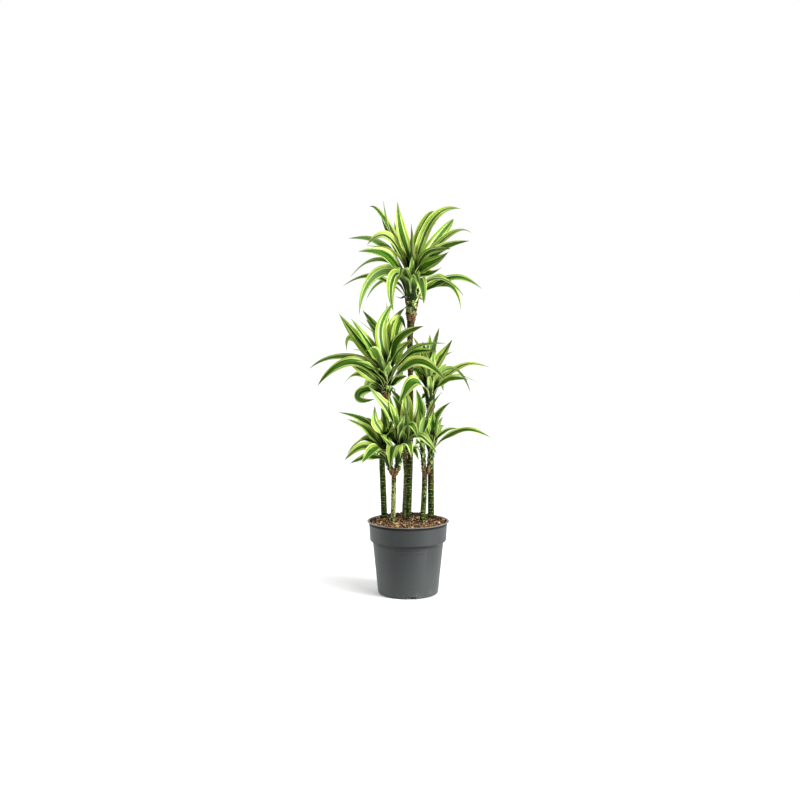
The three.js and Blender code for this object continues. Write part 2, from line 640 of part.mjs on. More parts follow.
// The leaves of a shoot, the named ones first and then those that fill its open sector
function shootLeaves(shoot) {
  const draw = drawsFrom(shoot.seed);
  const line = stemLine(shoot.stem);
  const rootAt = (age) => line.at(THREE.MathUtils.lerp(shoot.roots[0], shoot.roots[1], age));
  const foot = new THREE.Vector3(...shoot.foot);
  const blades = shoot.leaves.map(([right, back, up, rise, end, length, width, turn], i) => {
    const root = rootAt(i / (shoot.leaves.length - 1));
    const tip = foot.clone().add(new THREE.Vector3(right, back, up));
    return leafBlade(root, tip, rise, end, length, width, turn);
  });
  const between = ([least, most], share) => THREE.MathUtils.lerp(least, most, share);
  for (let i = 0; i < (shoot.fill ?? 0); i += 1) {
    const age = (i + 0.5) / shoot.fill;
    const angle = between(shoot.sector, (0.5 + i * GOLDEN) % 1) * DEGREE;
    const rise = between(FILL_RISE, age) + FILL_RISE_SPREAD * (draw() - 0.5);
    const end = between(FILL_END, age) + FILL_END_SPREAD * (draw() - 0.5);
    const length = between(FILL_LENGTH, draw());
    const width = between(FILL_WIDTH, draw());
    const turn = FILL_TURN_SPREAD * (draw() - 0.5);
    const tilt = ((rise + end) / 2) * DEGREE;
    const chord = FILL_CHORD * length;
    const root = rootAt(age);
    const tip = root.place.clone().add(new THREE.Vector3(
      chord * Math.cos(tilt) * Math.cos(angle), chord * Math.cos(tilt) * Math.sin(angle),
      chord * Math.sin(tilt)));
    blades.push(leafBlade(root, tip, rise, end, length, width, turn));
  }
  return blades;
}

// A crown: sheathed stems and leaves, grown together as one body
function crown(name, { shoots, stub }) {
  const grown = stub ? [plainStem(stub, 1)] : [];
  for (const key of shoots) {
    grown.push(plainStem(SHOOTS[key].stem, STEM_ROWS), ...shootLeaves(SHOOTS[key]));
  }
  let body = grown[0];
  for (const more of grown.slice(1)) body = body.add(more);
  return piece(name, surface(body), 'leaf');
}

// ---- The plant ------------------------------------------------------------------------------

const CANE_COLOURS = { cane_left_front: 'cane_pale', cane_centre_back: 'cane_brown' };

const plant = new THREE.Group();
plant.add(pot(), soil());
for (const [name, points] of Object.entries(CANES)) {
  plant.add(cane(name, points, CANE_COLOURS[name] ?? 'cane'));
}
for (const [name, parts] of Object.entries(CROWNS)) plant.add(crown(name, parts));

export default plant;
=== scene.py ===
import math
import random

import bmesh
import bpy
from mathutils import Matrix, Vector, geometry, noise


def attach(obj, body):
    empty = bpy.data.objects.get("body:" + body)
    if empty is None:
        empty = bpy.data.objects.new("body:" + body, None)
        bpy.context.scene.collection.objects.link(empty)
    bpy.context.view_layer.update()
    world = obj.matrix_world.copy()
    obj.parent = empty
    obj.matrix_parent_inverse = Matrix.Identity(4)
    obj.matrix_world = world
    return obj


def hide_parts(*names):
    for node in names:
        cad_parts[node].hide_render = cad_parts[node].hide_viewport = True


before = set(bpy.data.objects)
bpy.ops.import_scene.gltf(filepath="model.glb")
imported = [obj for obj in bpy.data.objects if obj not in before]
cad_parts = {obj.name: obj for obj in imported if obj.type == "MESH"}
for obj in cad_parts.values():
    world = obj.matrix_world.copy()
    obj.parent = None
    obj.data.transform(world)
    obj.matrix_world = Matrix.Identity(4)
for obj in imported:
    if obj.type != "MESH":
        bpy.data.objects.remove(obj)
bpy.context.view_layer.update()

# ---- Camera ---------------------------------------------------------------------------------
# The plant is seen from the front, from a little above its middle and from far enough away
# that its canes look almost parallel. The view looks slightly down into the pot.

CAMERA_PLACE = (-0.027, -4.2, 1.05)
CAMERA_PITCH = math.radians(90 - 5.5)
CAMERA_LENS = 57.6


def new_object(name, data):
    made = bpy.data.objects.new(name, data)
    bpy.context.scene.collection.objects.link(made)
    return made


camera = new_object("camera", bpy.data.cameras.new("camera"))
camera.data.lens = CAMERA_LENS
camera.location = CAMERA_PLACE
camera.rotation_euler = (CAMERA_PITCH, 0, 0)
bpy.context.scene.camera = camera

# ---- Pot ------------------------------------------------------------------------------------
# A thin nursery pot, injection-moulded in grey polypropylene. It has a flat lip over a plain
# band, a small step below the band and a tapered wall. Its floor has six drain holes, and the
# foot ring round them has three notches, so that water runs out underneath.

MM = 0.001
POT_STEPS = 144
POT_HEIGHT = 243
POT_WALL = 2
LIP_RADIUS = 136
LIP_THICKNESS = 3.5
LIP_FOOT = POT_HEIGHT - LIP_THICKNESS
LIP_UNDERCUT = 1
LIP_ROUND = 1.1
BAND_TOP_RADIUS = 130
BAND_FOOT_RADIUS = 126.5
BAND_FOOT = 179
BAND_ROUND = 1.6
STEP_RADIUS = 117.5
STEP_HEIGHT = 172
WALL_FOOT_RADIUS = 101
WALL_FOOT = 9
FOOT_RING_OUTER = 96
FOOT_RING_INNER = 90
FOOT_RING_TAPER = 2
FOOT_ROUND = 0.7
FLOOR_UNDERSIDE = 7.5
FLOOR_TOP = FLOOR_UNDERSIDE + POT_WALL
CENTRE_PAD_RADIUS = 45
CENTRE_PAD_TAPER = 5
HEEL = (1.5, 3)  # in from the foot of the wall, and up from the ground
FLOOR_CORNER = (3, 2)  # along the floor inside, and up the wall
NOTCH_COUNT = 3
NOTCH_SIZE = (20, 30, 14)  # through the ring, along it, and up, half of it below the ground
FIRST_NOTCH = math.radians(-84)
DRAIN_COUNT = 6
DRAIN_RADIUS = 7
DRAIN_CIRCLE = 70
DRAIN_SIDES = 40
RAISED_LINES = ((162, -110, -58), (151, -103, -58))  # height, first and last compass angle
LINE_HALF_HEIGHT = 0.9
LINE_PROUD = 0.9
LINE_ROOT = 1
LINE_STEPS = 24
# The heights between which corners are rounded, and how far each is cut back
ROUNDED = ((230, 250, LIP_ROUND), (165, 185, BAND_ROUND), (-1, 8, FOOT_ROUND))
ROUNDED_FROM = math.radians(8)  # only corners that turn further than this
ROUND_STEPS = 3
SHARP_ANGLE = math.radians(32)
SAME_PLACE = 1e-6


class Socket:
    """One output of a finish. Arithmetic on it adds Math nodes, and node() adds any other."""

    def __init__(self, tree, output=None):
        self.tree = tree
        self.output = output

    def node(self, kind, settings, inputs, out=0):
        made = self.tree.nodes.new("ShaderNode" + kind)
        for key, value in settings.items():
            if key == "stops":
                ramp = made.color_ramp.elements
                ramp[0].position, ramp[1].position = value[0][0], value[-1][0]
                for place, colour in value[1:-1]:
                    ramp.new(place)
                for stop, (place, colour) in zip(ramp, value):
                    stop.color = colour
            else:
                setattr(made, key, value)
        for key, value in inputs.items():
            if isinstance(value, Socket):
                self.tree.links.new(value.output, made.inputs[key])
            else:
                made.inputs[key].default_value = value
        return Socket(self.tree, made.outputs[out] if made.outputs else None)

    def math(self, operation, one, other):
        return self.node("Math", {"operation": operation}, {0: one, 1: other})

    def __add__(self, other):
        return self.math("ADD", self, other)

    __radd__ = __add__

    def __sub__(self, other):
        return self.math("SUBTRACT", self, other)

    def __rsub__(self, other):
        return self.math("SUBTRACT", other, self)

    def __mul__(self, other):
        return self.math("MULTIPLY", self, other)

    __rmul__ = __mul__

    def __abs__(self):
        return self.math("ABSOLUTE", self, 0.0)

    def __mod__(self, other):
        return self.math("FLOORED_MODULO", self, other)


def paint(red, green, blue):
    """A colour given as 0 to 255 a channel, in the linear values that a node takes."""
    return tuple(((level / 255 + 0.055) / 1.055) ** 2.4 for level in (red, green, blue)) + (1.0,)


def fade(value, low, high):
    """0 up to one limit, 1 from the other, and smooth between them."""
    limits = {"Value": value, "From Min": low, "From Max": high}
    return value.node("MapRange", {"interpolation_type": "SMOOTHSTEP"}, limits)


def plateau(value, low, low_full, high_full, high):
    """1 between the two middle limits, and smooth down to 0 at the outer two."""
    return fade(value, low, low_full) * (1 - fade(value, high_full, high))


def tinted(mask, below, above):
    """One colour where the mask is 0, and another where it is 1."""
    return mask.node("Mix", {"data_type": "RGBA"}, {0: mask, 6: below, 7: above}, 2)


def coated(colour, *coats):
    """A colour with coats laid over it in turn, each where its mask is 1."""
    for mask, coat in coats:
        colour = tinted(mask, colour, coat)
    return colour


def object_place(start):
    return start.node("TexCoord", {}, {}, "Object")


def carried(start, name):
    """A value that the mesh carries at each of its points."""
    return start.node("Attribute", {"attribute_name": name}, {}, "Fac")


def part_of(place, axis):
    return place.node("SeparateXYZ", {}, {0: place}, axis)


def stretched(place, x, y, z):
    return place.node("VectorMath", {"operation": "MULTIPLY"}, {0: place, 1: (x, y, z)})


def mottle(place, scale, detail=2.0):
    """Soft noise of a number of cells a metre."""
    return place.node("TexNoise", {}, {"Vector": place, "Scale": scale, "Detail": detail})


def new_finish(name):
    material = bpy.data.materials.new(name)
    material.use_nodes = True
    material.node_tree.nodes.clear()
    return material, Socket(material.node_tree)


def close_finish(start, colour, roughness, height, relief, **constants):
    """Joins colour, roughness and a relief in metres to the surface shader."""
    bump = start.node("Bump", {}, {"Distance": relief, "Height": height})
    inputs = {"Base Color": colour, "Roughness": roughness, "Normal": bump}
    for key, value in constants.items():
        inputs[key.replace("_", " ")] = value
    shader = start.node("BsdfPrincipled", {}, inputs)
    start.node("OutputMaterial", {}, {"Surface": shader})


def stand(name, bm, finishes):
    """Stands a bmesh in the scene as an object, smooth but for its sharp corners."""
    mesh = bpy.data.meshes.new(name)
    bm.to_mesh(mesh)
    bm.free()
    mesh.shade_smooth()
    mesh.set_sharp_from_angle(angle=SHARP_ANGLE)
    for material in finishes:
        mesh.materials.append(material)
    return new_object(name, mesh)


def make_piece(name, bm, finishes):
    """Stands a piece of the plant in place of the node of the same name."""
    made = stand(name, bm, finishes)
    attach(made, "root")
    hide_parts(name)


def spun(profile):
    """A closed shell of revolution from (radius, height) points in metres, axis to axis."""
    bm = bmesh.new()
    line = [bm.verts.new((radius, 0, height)) for radius, height in profile]
    wire = [bm.edges.new(pair) for pair in zip(line, line[1:])]
    bmesh.ops.spin(bm, geom=line + wire, cent=(0, 0, 0), axis=(0, 0, 1), dvec=(0, 0, 0),
                   angle=2 * math.pi, steps=POT_STEPS, use_merge=True)
    bmesh.ops.remove_doubles(bm, verts=bm.verts, dist=SAME_PLACE)
    bmesh.ops.recalc_face_normals(bm, faces=bm.faces)
    return bm


def cut(body, tool, operation):
    """The mesh of a body after a boolean with a tool."""
    objects = []
    for name, bm in (("body", body), ("tool", tool)):
        mesh = bpy.data.meshes.new(name)
        bm.to_mesh(mesh)
        bm.free()
        objects.append(new_object(name, mesh))
    boolean = objects[0].modifiers.new("cut", "BOOLEAN")
    boolean.operation = operation
    boolean.solver = "EXACT"
    boolean.object = objects[1]
    depsgraph = bpy.context.evaluated_depsgraph_get()
    result = bmesh.new()
    result.from_mesh(bpy.data.meshes.new_from_object(objects[0].evaluated_get(depsgraph)))
    for made in objects:
        bpy.data.meshes.remove(made.data)
    return result


pot_profile = [
    (0, 0), (CENTRE_PAD_RADIUS, 0), (CENTRE_PAD_RADIUS + CENTRE_PAD_TAPER, FLOOR_UNDERSIDE),
    (FOOT_RING_INNER - FOOT_RING_TAPER, FLOOR_UNDERSIDE), (FOOT_RING_INNER, 0),
    (FOOT_RING_OUTER, 0), (WALL_FOOT_RADIUS - HEEL[0], HEEL[1]), (WALL_FOOT_RADIUS, WALL_FOOT),
    (STEP_RADIUS, STEP_HEIGHT), (BAND_FOOT_RADIUS, BAND_FOOT),
    (BAND_TOP_RADIUS, LIP_FOOT), (LIP_RADIUS, LIP_FOOT + LIP_UNDERCUT), (LIP_RADIUS, POT_HEIGHT),
    (BAND_TOP_RADIUS - POT_WALL, POT_HEIGHT),
    (BAND_FOOT_RADIUS - POT_WALL, BAND_FOOT + POT_WALL),
    (STEP_RADIUS - POT_WALL, STEP_HEIGHT + POT_WALL / 2),
    (WALL_FOOT_RADIUS - POT_WALL, FLOOR_TOP + FLOOR_CORNER[1]),
    (WALL_FOOT_RADIUS - POT_WALL - FLOOR_CORNER[0], FLOOR_TOP),
    (CENTRE_PAD_RADIUS + CENTRE_PAD_TAPER - POT_WALL / 2, FLOOR_TOP),
    (CENTRE_PAD_RADIUS - POT_WALL / 2, POT_WALL), (0, POT_WALL),
]
pot_shell = spun([(radius * MM, height * MM) for radius, height in pot_profile])


def corner_edges(bm, low, high):
    """The edges that run round the outside of the pot between two heights, where it turns."""
    found = []
    for edge in bm.edges:
        one, other = (vert.co for vert in edge.verts)
        level = abs(one.z - other.z) < SAME_PLACE and low * MM <= one.z <= high * MM
        if level and math.hypot(one.x, one.y) > DRAIN_CIRCLE * MM:
            if edge.calc_face_angle(0) > ROUNDED_FROM:
                found.append(edge)
    return found


def round_off(bm, edges, cut_back, segments):
    bmesh.ops.bevel(bm, geom=edges, offset=cut_back * MM, offset_type="OFFSET",
                    segments=segments, profile=0.5, affect="EDGES", material=-1,
                    clamp_overlap=True)


for low, high, cut_back in ROUNDED:
    round_off(pot_shell, corner_edges(pot_shell, low, high), cut_back, ROUND_STEPS)

openings = bmesh.new()
for i in range(NOTCH_COUNT):
    turn = Matrix.Rotation(FIRST_NOTCH + 2 * math.pi * i / NOTCH_COUNT, 4, "Z")
    out = Matrix.Translation(((FOOT_RING_OUTER + FOOT_RING_INNER) / 2 * MM, 0, 0))
    size = Matrix.Diagonal([*(side * MM for side in NOTCH_SIZE), 1])
    bmesh.ops.create_cube(openings, size=1, matrix=turn @ out @ size)
for i in range(DRAIN_COUNT):
    turn = Matrix.Rotation(2 * math.pi * (i + 0.5) / DRAIN_COUNT, 4, "Z")
    out = Matrix.Translation((DRAIN_CIRCLE * MM, 0, FLOOR_UNDERSIDE * MM))
    bmesh.ops.create_cone(openings, segments=DRAIN_SIDES, cap_ends=True, matrix=turn @ out,
                          radius1=DRAIN_RADIUS * MM, radius2=DRAIN_RADIUS * MM,
                          depth=4 * POT_WALL * MM)
pot_shell = cut(pot_shell, openings, "DIFFERENCE")

lines = bmesh.new()
for height, first, last in RAISED_LINES:
    share = (height - WALL_FOOT) / (STEP_HEIGHT - WALL_FOOT)
    wall = WALL_FOOT_RADIUS + (STEP_RADIUS - WALL_FOOT_RADIUS) * share
    section = [lines.verts.new(((wall + out) * MM, 0, (height + up) * MM)) for out, up in (
        (-LINE_ROOT, -LINE_HALF_HEIGHT), (LINE_PROUD, -LINE_HALF_HEIGHT / 3),
        (LINE_PROUD, LINE_HALF_HEIGHT / 3), (-LINE_ROOT, LINE_HALF_HEIGHT))]
    bmesh.ops.rotate(lines, cent=(0, 0, 0), verts=section,
                     matrix=Matrix.Rotation(math.radians(first), 3, "Z"))
    end = lines.faces.new(section)
    bmesh.ops.spin(lines, geom=[end], cent=(0, 0, 0), axis=(0, 0, 1), dvec=(0, 0, 0),
                   angle=math.radians(last - first), steps=LINE_STEPS)
bmesh.ops.recalc_face_normals(lines, faces=lines.faces)
pot_shell = cut(pot_shell, lines, "UNION")

pot_plastic, start = new_finish("pot_plastic")
where = object_place(start)
height = part_of(where, "Z")
smudge = mottle(where, 11, 4.0)
drawn = mottle(stretched(where, 1, 1, 0.04), 90, 2.0)
fleck = fade(mottle(where, 700, 1.0), 0.66, 0.74)
# Painted shade: a dark band just under the lip's overhang, where the plastic is also rougher
painted_lip_shade = plateau(height, 0.229, 0.2355, LIP_FOOT * MM, (LIP_FOOT + LIP_UNDERCUT) * MM)
# Painted shade: a dark band under the step at the band's foot
painted_band_shade = plateau(height, 0.160, STEP_HEIGHT * MM, BAND_FOOT * MM, 0.183)
# The lip's top is paler: dust on it, and also a painted highlight along the rim
rim_dust_and_highlight = fade(height, 0.2408, 0.2428) * (0.15 + 0.5 * mottle(where, 260, 3.0))
splash = (1 - fade(height, 0.0, 0.035)) * fade(mottle(where, 60, 4.0), 0.45, 0.75)
colour = coated(
    tinted(smudge, paint(27, 32, 32), paint(37, 42, 42)),
    (drawn * 0.35, paint(26, 31, 31)),
    # Painted shade under the lip and under the band's step
    (painted_lip_shade + 0.8 * painted_band_shade, paint(4, 5, 5)),
    (fleck * 0.3, paint(92, 96, 92)),
    (rim_dust_and_highlight, paint(168, 160, 140)),
    # Paler towards the foot: painted light, as if bounced up from the floor
    ((1 - fade(height, 0.0, 0.17)) * 0.3, paint(78, 84, 82)),
    (splash * 0.3, paint(120, 116, 104)))
close_finish(start, colour, 0.36 + 0.16 * smudge + 0.12 * drawn + 0.5 * painted_lip_shade,
             mottle(where, 2600, 2.0) * 0.5 + drawn, 0.00008, Specular_IOR_Level=0.4)
make_piece("pot", pot_shell, [pot_plastic])

# ---- Soil -----------------------------------------------------------------------------------
# A mix of bark and coir fills the pot to just under the lip. On top lie loose chips of pine
# bark and husk, red-brown to straw-coloured, with dark gaps between them.

SOIL_EDGE = 238
SOIL_CENTRE = 242
SOIL_GAP = 0.3
SOIL_HEAP = 10  # how much higher the soil is heaped at the back
HEAP_RADII = (97, 113, 127)  # its inner foot, its crest and its foot at the wall
SOIL_ROWS = 34
SOIL_ROUGHNESS = 3.2
SOIL_CLODS = 90  # a metre
SOIL_FRACTAL = (1, 2, 3)  # how much smaller clods matter, how much smaller they are, how many
SOIL_SIDE_TOP = SOIL_EDGE - 4  # what lies higher than this is the top of the soil
UNDER_CHIPS = 1.5  # how far the soil lies below the level of its chips
CHIP_SEED = 7
CHIP_COUNT = 3400
CHIP_CIRCLE = 122.5
# The share of chips up to each size, and its length, width and thickness
CHIP_SIZES = ((0.78, (5.2, 2.8, 2.3)), (0.95, (8.8, 4.2, 2.9)), (1.0, (13, 5.6, 3.4)))
CHIP_SIZE_SPREAD = (0.7, 1.3)
CHIP_CORNERS = ((0.72, 1.12), (0.6, 1.15), (0.6, 1.2))  # shares of the size at each corner
CHIP_LIFT = (-0.8, 1.8)
CHIP_LEAN = (0.28, 0.22)  # in radians, about its length and its width
CHIP_TINT = 0.46
CHIP_TINT_SPREAD = 0.33
DARKER_BEHIND = 0.12
CHIP_BEVEL = 0.7
NEAR_WALL = 114  # past this radius all chips are small
CHIP_BATCH = 50


def soil_height(radius, behind):
    share = radius / (BAND_TOP_RADIUS - POT_WALL)
    foot, crest, wall = HEAP_RADII
    heap = min(1, max(0, (radius - foot) / (crest - foot)))
    heap *= 1 - min(1, max(0, (radius - crest) / (wall - crest))) ** 2
    heap *= math.sqrt(max(0, behind) / max(1, radius))
    return SOIL_CENTRE - (SOIL_CENTRE - SOIL_EDGE) * share * share + SOIL_HEAP * heap


inset = POT_WALL + SOIL_GAP
pad = CENTRE_PAD_RADIUS - POT_WALL / 2 - SOIL_GAP
soil_side = [
    (0, inset), (pad, inset), (pad + CENTRE_PAD_TAPER, FLOOR_TOP + SOIL_GAP),
    (WALL_FOOT_RADIUS - inset - FLOOR_CORNER[0], FLOOR_TOP + SOIL_GAP),
    (WALL_FOOT_RADIUS - inset, FLOOR_TOP + FLOOR_CORNER[1]),
    (STEP_RADIUS - inset, STEP_HEIGHT + POT_WALL / 2),
    (BAND_FOOT_RADIUS - inset, BAND_FOOT + inset),
]
soil_rim = BAND_TOP_RADIUS - inset - SOIL_GAP
soil_top = [soil_rim * (1 - i / SOIL_ROWS) for i in range(SOIL_ROWS + 1)]
soil_profile = soil_side + [
    (radius, soil_height(radius, 0) - UNDER_CHIPS) for radius in soil_top]
soil_fill = spun([(radius * MM, height * MM) for radius, height in soil_profile])
for vert in soil_fill.verts:
    if vert.co.z > SOIL_SIDE_TOP * MM:
        radius = math.hypot(vert.co.x, vert.co.y) / MM
        heaped = soil_height(radius, vert.co.y / MM) - soil_height(radius, 0)
        rough = SOIL_ROUGHNESS * MM * noise.fractal(vert.co * SOIL_CLODS, *SOIL_FRACTAL)
        vert.co.z += heaped * MM + rough

draw = random.Random(CHIP_SEED)
for batch in range(CHIP_COUNT // CHIP_BATCH):
    chips = bmesh.new()
    tint = chips.verts.layers.float.new("tint")
    for i in range(CHIP_BATCH):
        angle = draw.uniform(0, 2 * math.pi)
        radius = CHIP_CIRCLE * math.sqrt(draw.random())
        pick = draw.random()
        size = next(sizes for chance, sizes in CHIP_SIZES if pick <= chance)
        if radius > NEAR_WALL:
            size = CHIP_SIZES[0][1]
        size = [side * draw.uniform(*CHIP_SIZE_SPREAD) * MM for side in size]
        lift = draw.uniform(*CHIP_LIFT)
        right, behind = radius * math.cos(angle), radius * math.sin(angle)
        place = Matrix.Translation(
            Vector((right, behind, soil_height(radius, behind) + lift)) * MM)
        leans = [Matrix.Rotation(draw.gauss(0, spread), 4, axis)
                 for spread, axis in zip(CHIP_LEAN, "XY")]
        turn = Matrix.Rotation(draw.uniform(0, math.pi), 4, "Z")
        made = bmesh.ops.create_cube(chips, size=1)["verts"]
        shade = draw.gauss(CHIP_TINT - DARKER_BEHIND * behind / CHIP_CIRCLE, CHIP_TINT_SPREAD)
        for vert in made:
            for axis, limits in enumerate(CHIP_CORNERS):
                vert.co[axis] *= size[axis] * draw.uniform(*limits)
            vert[tint] = min(1, max(0, shade))
        bmesh.ops.transform(chips, matrix=place @ turn @ leans[0] @ leans[1], verts=made)
    round_off(chips, chips.edges, CHIP_BEVEL, 1)
    for face in chips.faces:
        face.material_index = 1
    loose = bpy.data.meshes.new("chips")
    chips.to_mesh(loose)
    chips.free()
    soil_fill.from_mesh(loose)
    bpy.data.meshes.remove(loose)

bark_soil, start = new_finish("bark_soil")
where = object_place(start)
crumb = mottle(where, 320, 5.0)
colour = start.node("ValToRGB", {"stops": (
    (0.3, paint(12, 6, 3)), (0.5, paint(38, 20, 11)), (0.68, paint(92, 58, 32)))},
    {"Fac": crumb})
close_finish(start, colour, 0.92, crumb, 0.004)

bark_chips, start = new_finish("bark_chips")
where = object_place(start)
tint = carried(start, "tint")
crumb = mottle(where, 420, 4.0)
fibre = mottle(stretched(where, 1, 2.5, 1), 700, 3.0)
colour = start.node("ValToRGB", {"stops": (
    (0.0, paint(12, 5, 0)), (0.3, paint(44, 21, 8)), (0.5, paint(92, 48, 22)),
    (0.64, paint(128, 84, 42)), (0.82, paint(176, 138, 84)), (1.0, paint(226, 198, 146)))},
    {"Fac": tint + 0.5 * (crumb - 0.5)})
colour = tinted(fade(fibre, 0.55, 0.75) * 0.5, colour, paint(48, 24, 14))
close_finish(start, colour, 0.78 + 0.2 * crumb, fibre + crumb, 0.0008)
make_piece("soil", soil_fill, [bark_soil, bark_chips])

# ---- Canes ----------------------------------------------------------------------------------
# Six rooted cuttings of the plant's woody stem, each a bare green cane. Fallen leaves have
# left a pale ring scar about every centimetre, and the oldest bark has turned brown.

BURIED_END = 150
FIRST_RING = 218
RINGS_END = 3  # how far below its top a cane's rings end
CANE_SIDES = 32
SEAM = 1e-7  # points of a rolled sheet that are closer than this are joined
SWELL = 0.25  # how far a cane swells out or in
SWELL_LENGTH = 14
SWELL_ROUND = 3  # how much the swelling varies round a stem
RING_SPACING = (7.5, 14)
RING_TILT = (0, 1.1)
RING_SIZE = (0.6, 1.25)
RING_PATTERN = 9  # mm of cane, close to a scar, that make one ring of the pattern
# A ring scar from below: distance from its crest and how far it stands out, in mm
RING_SHAPE = ((-1.3, 0.0), (-0.4, 0.55), (0.4, 0.5), (1.3, -0.15))
CANES = {
    # node: points of the centre line with the radius, and stops of height, brown and pale
    "cane_left_back": (
        ((-79, 62, 150, 10.2), (-80.3, 60, 240, 10.2), (-83.5, 53, 340, 10),
         (-87, 45, 450, 9.5), (-81, 15, 560, 9), (-73, -10, 645, 9)),
        ((150, 0.0, 0.2), (330, 0.15, 0.1), (430, 0.3, 0.0), (500, 0.75, 0.1), (645, 0.6, 0.2))),
    "cane_left_front": (
        ((-51, -19, 150, 8.2), (-50.5, -20, 241, 8.2), (-48, -24, 340, 8), (-47, -25, 393, 8)),
        ((150, 0.0, 0.5), (280, 0.1, 0.62), (370, 0.3, 0.6), (393, 0.8, 0.3))),
    "cane_centre_back": (
        ((-13, 60, 150, 8.5), (-12.5, 58, 240, 8.5), (-7, 50, 385, 8), (-9, 42, 425, 8),
         (-12, 30, 452, 8.5)),
        ((150, 0.2, 0.7), (380, 0.25, 0.75), (400, 0.1, 0.9), (452, 0.6, 0.4))),
    "cane_centre_tall": (
        ((-1, 31, 150, 10), (1, 30, 240, 10), (7, 27, 460, 9.5), (8, 25, 700, 9),
         (6, 19, 850, 9.5), (9, 15, 905, 13)),
        ((150, 0.1, 0.15), (330, 0.1, 0.1), (400, 0.5, 0.0), (700, 0.6, 0.1), (860, 0.7, 0.2),
         (905, 1.0, 0.15))),
    "cane_right_front": (
        ((44, -32, 150, 9.4), (47, -33, 241, 9.4), (52, -35, 330, 9), (54, -36, 399, 8.5)),
        ((150, 0.0, 0.3), (300, 0.1, 0.35), (360, 0.45, 0.45), (399, 0.75, 0.3))),
    "cane_right_back": (
        ((78, 61, 150, 10.6), (77.5, 60, 240, 10.6), (76.5, 55, 393, 10.4), (74, 50, 599, 9.5)),
        ((150, 0.1, 0.0), (340, 0.0, 0.0), (372, 0.75, 0.15), (420, 0.3, 0.1), (599, 0.6, 0.2))),
}


def stem_at(points, height):
    """Where the centre line of a stem is at a height, in mm, and its radius there."""
    spans = len(points) - 1
    end = next((i for i in range(1, spans + 1) if points[i][2] >= height), spans)
    one, other = points[end - 1], points[end]
    share = min(1, max(0, (height - one[2]) / (other[2] - one[2])))
    place = []
    for axis in (0, 1):
        before = points[end - 2][axis] if end > 1 else 2 * one[axis] - other[axis]
        after = points[end + 1][axis] if end < spans else 2 * other[axis] - one[axis]
        leave, arrive = (other[axis] - before) / 2, (after - one[axis]) / 2
        rise = other[axis] - one[axis]
        place.append(one[axis] + share * (leave + share * (
            3 * rise - 2 * leave - arrive + share * (leave + arrive - 2 * rise))))
    return Vector((*place, height)), one[3] + (other[3] - one[3]) * share


def level_at(stops, height):
    """A value between stops that each start with a height."""
    for one, other in zip(stops, stops[1:]):
        if height <= other[0]:
            share = max(0, (height - one[0]) / (other[0] - one[0]))
            return [a + (b - a) * share for a, b in zip(one[1:], other[1:])]
    return stops[-1][1:]


def roll(bm, sides, rows, place_of):
    """Rolls a flat grid into a stem. place_of(row, angle) gives a point in mm and the pattern's
    place along the stem. What stays open, at the ends or along the seam, is filled."""
    uv = bm.loops.layers.uv.verify()
    sheet = bmesh.ops.create_grid(bm, x_segments=sides, y_segments=rows - 1, size=1)["verts"]
    spots = {}
    for vert in sheet:
        turn = (vert.co.x + 1) / 2
        row = round((vert.co.y + 1) / 2 * (rows - 1))
        point, along = place_of(row, 2 * math.pi * turn)
        vert.co = point * MM
        spots[vert] = (turn, along)
    for face in {face for vert in sheet for face in vert.link_faces}:
        for loop in face.loops:
            loop[uv].uv = spots[loop.vert]
    bmesh.ops.remove_doubles(bm, verts=sheet, dist=SEAM)
    kept = [vert for vert in spots if vert.is_valid]
    rims = {edge for vert in kept for edge in vert.link_edges if edge.is_boundary}
    caps = bmesh.ops.holes_fill(bm, edges=list(rims), sides=0)["faces"]
    for face in caps:
        for loop in face.loops:
            loop[uv].uv = (0, spots.get(loop.vert, (0, 0))[1])
    return kept


def grow_cane(name, points, stops, seed):
    draw = random.Random(seed)
    top = points[-1][2]
    rows = [(BURIED_END, 0.0, 0.0, 0.0, 0.0)]
    crest = FIRST_RING
    ring = 1
    while crest < top - RINGS_END:
        tilt, lean = draw.uniform(*RING_TILT), draw.uniform(0, 2 * math.pi)
        size = draw.uniform(*RING_SIZE)
        for step, proud in RING_SHAPE:
            rows.append((crest + step, proud * size, ring + step / RING_PATTERN, tilt, lean))
        crest += draw.uniform(*RING_SPACING)
        ring += 1
    rows.append((top, 0.0, ring, 0.0, 0.0))

    def place_of(row, angle):
        height, proud, along, tilt, lean = rows[row]
        place, radius = stem_at(points, height)
        swell = SWELL * noise.noise(
            Vector((place.x, place.y + SWELL_ROUND * math.cos(angle), height / SWELL_LENGTH)))
        reach = radius + proud + swell
        rise = tilt * math.cos(angle - lean)
        return place + Vector((reach * math.cos(angle), reach * math.sin(angle), rise)), along

    bm = bmesh.new()
    brown = bm.verts.layers.float.new("brown")
    pale = bm.verts.layers.float.new("pale")
    roll(bm, CANE_SIDES, len(rows), place_of)
    for vert in bm.verts:
        vert[brown], vert[pale] = level_at(stops, vert.co.z / MM)
    bmesh.ops.recalc_face_normals(bm, faces=bm.faces)
    make_piece(name, bm, [cane_bark])


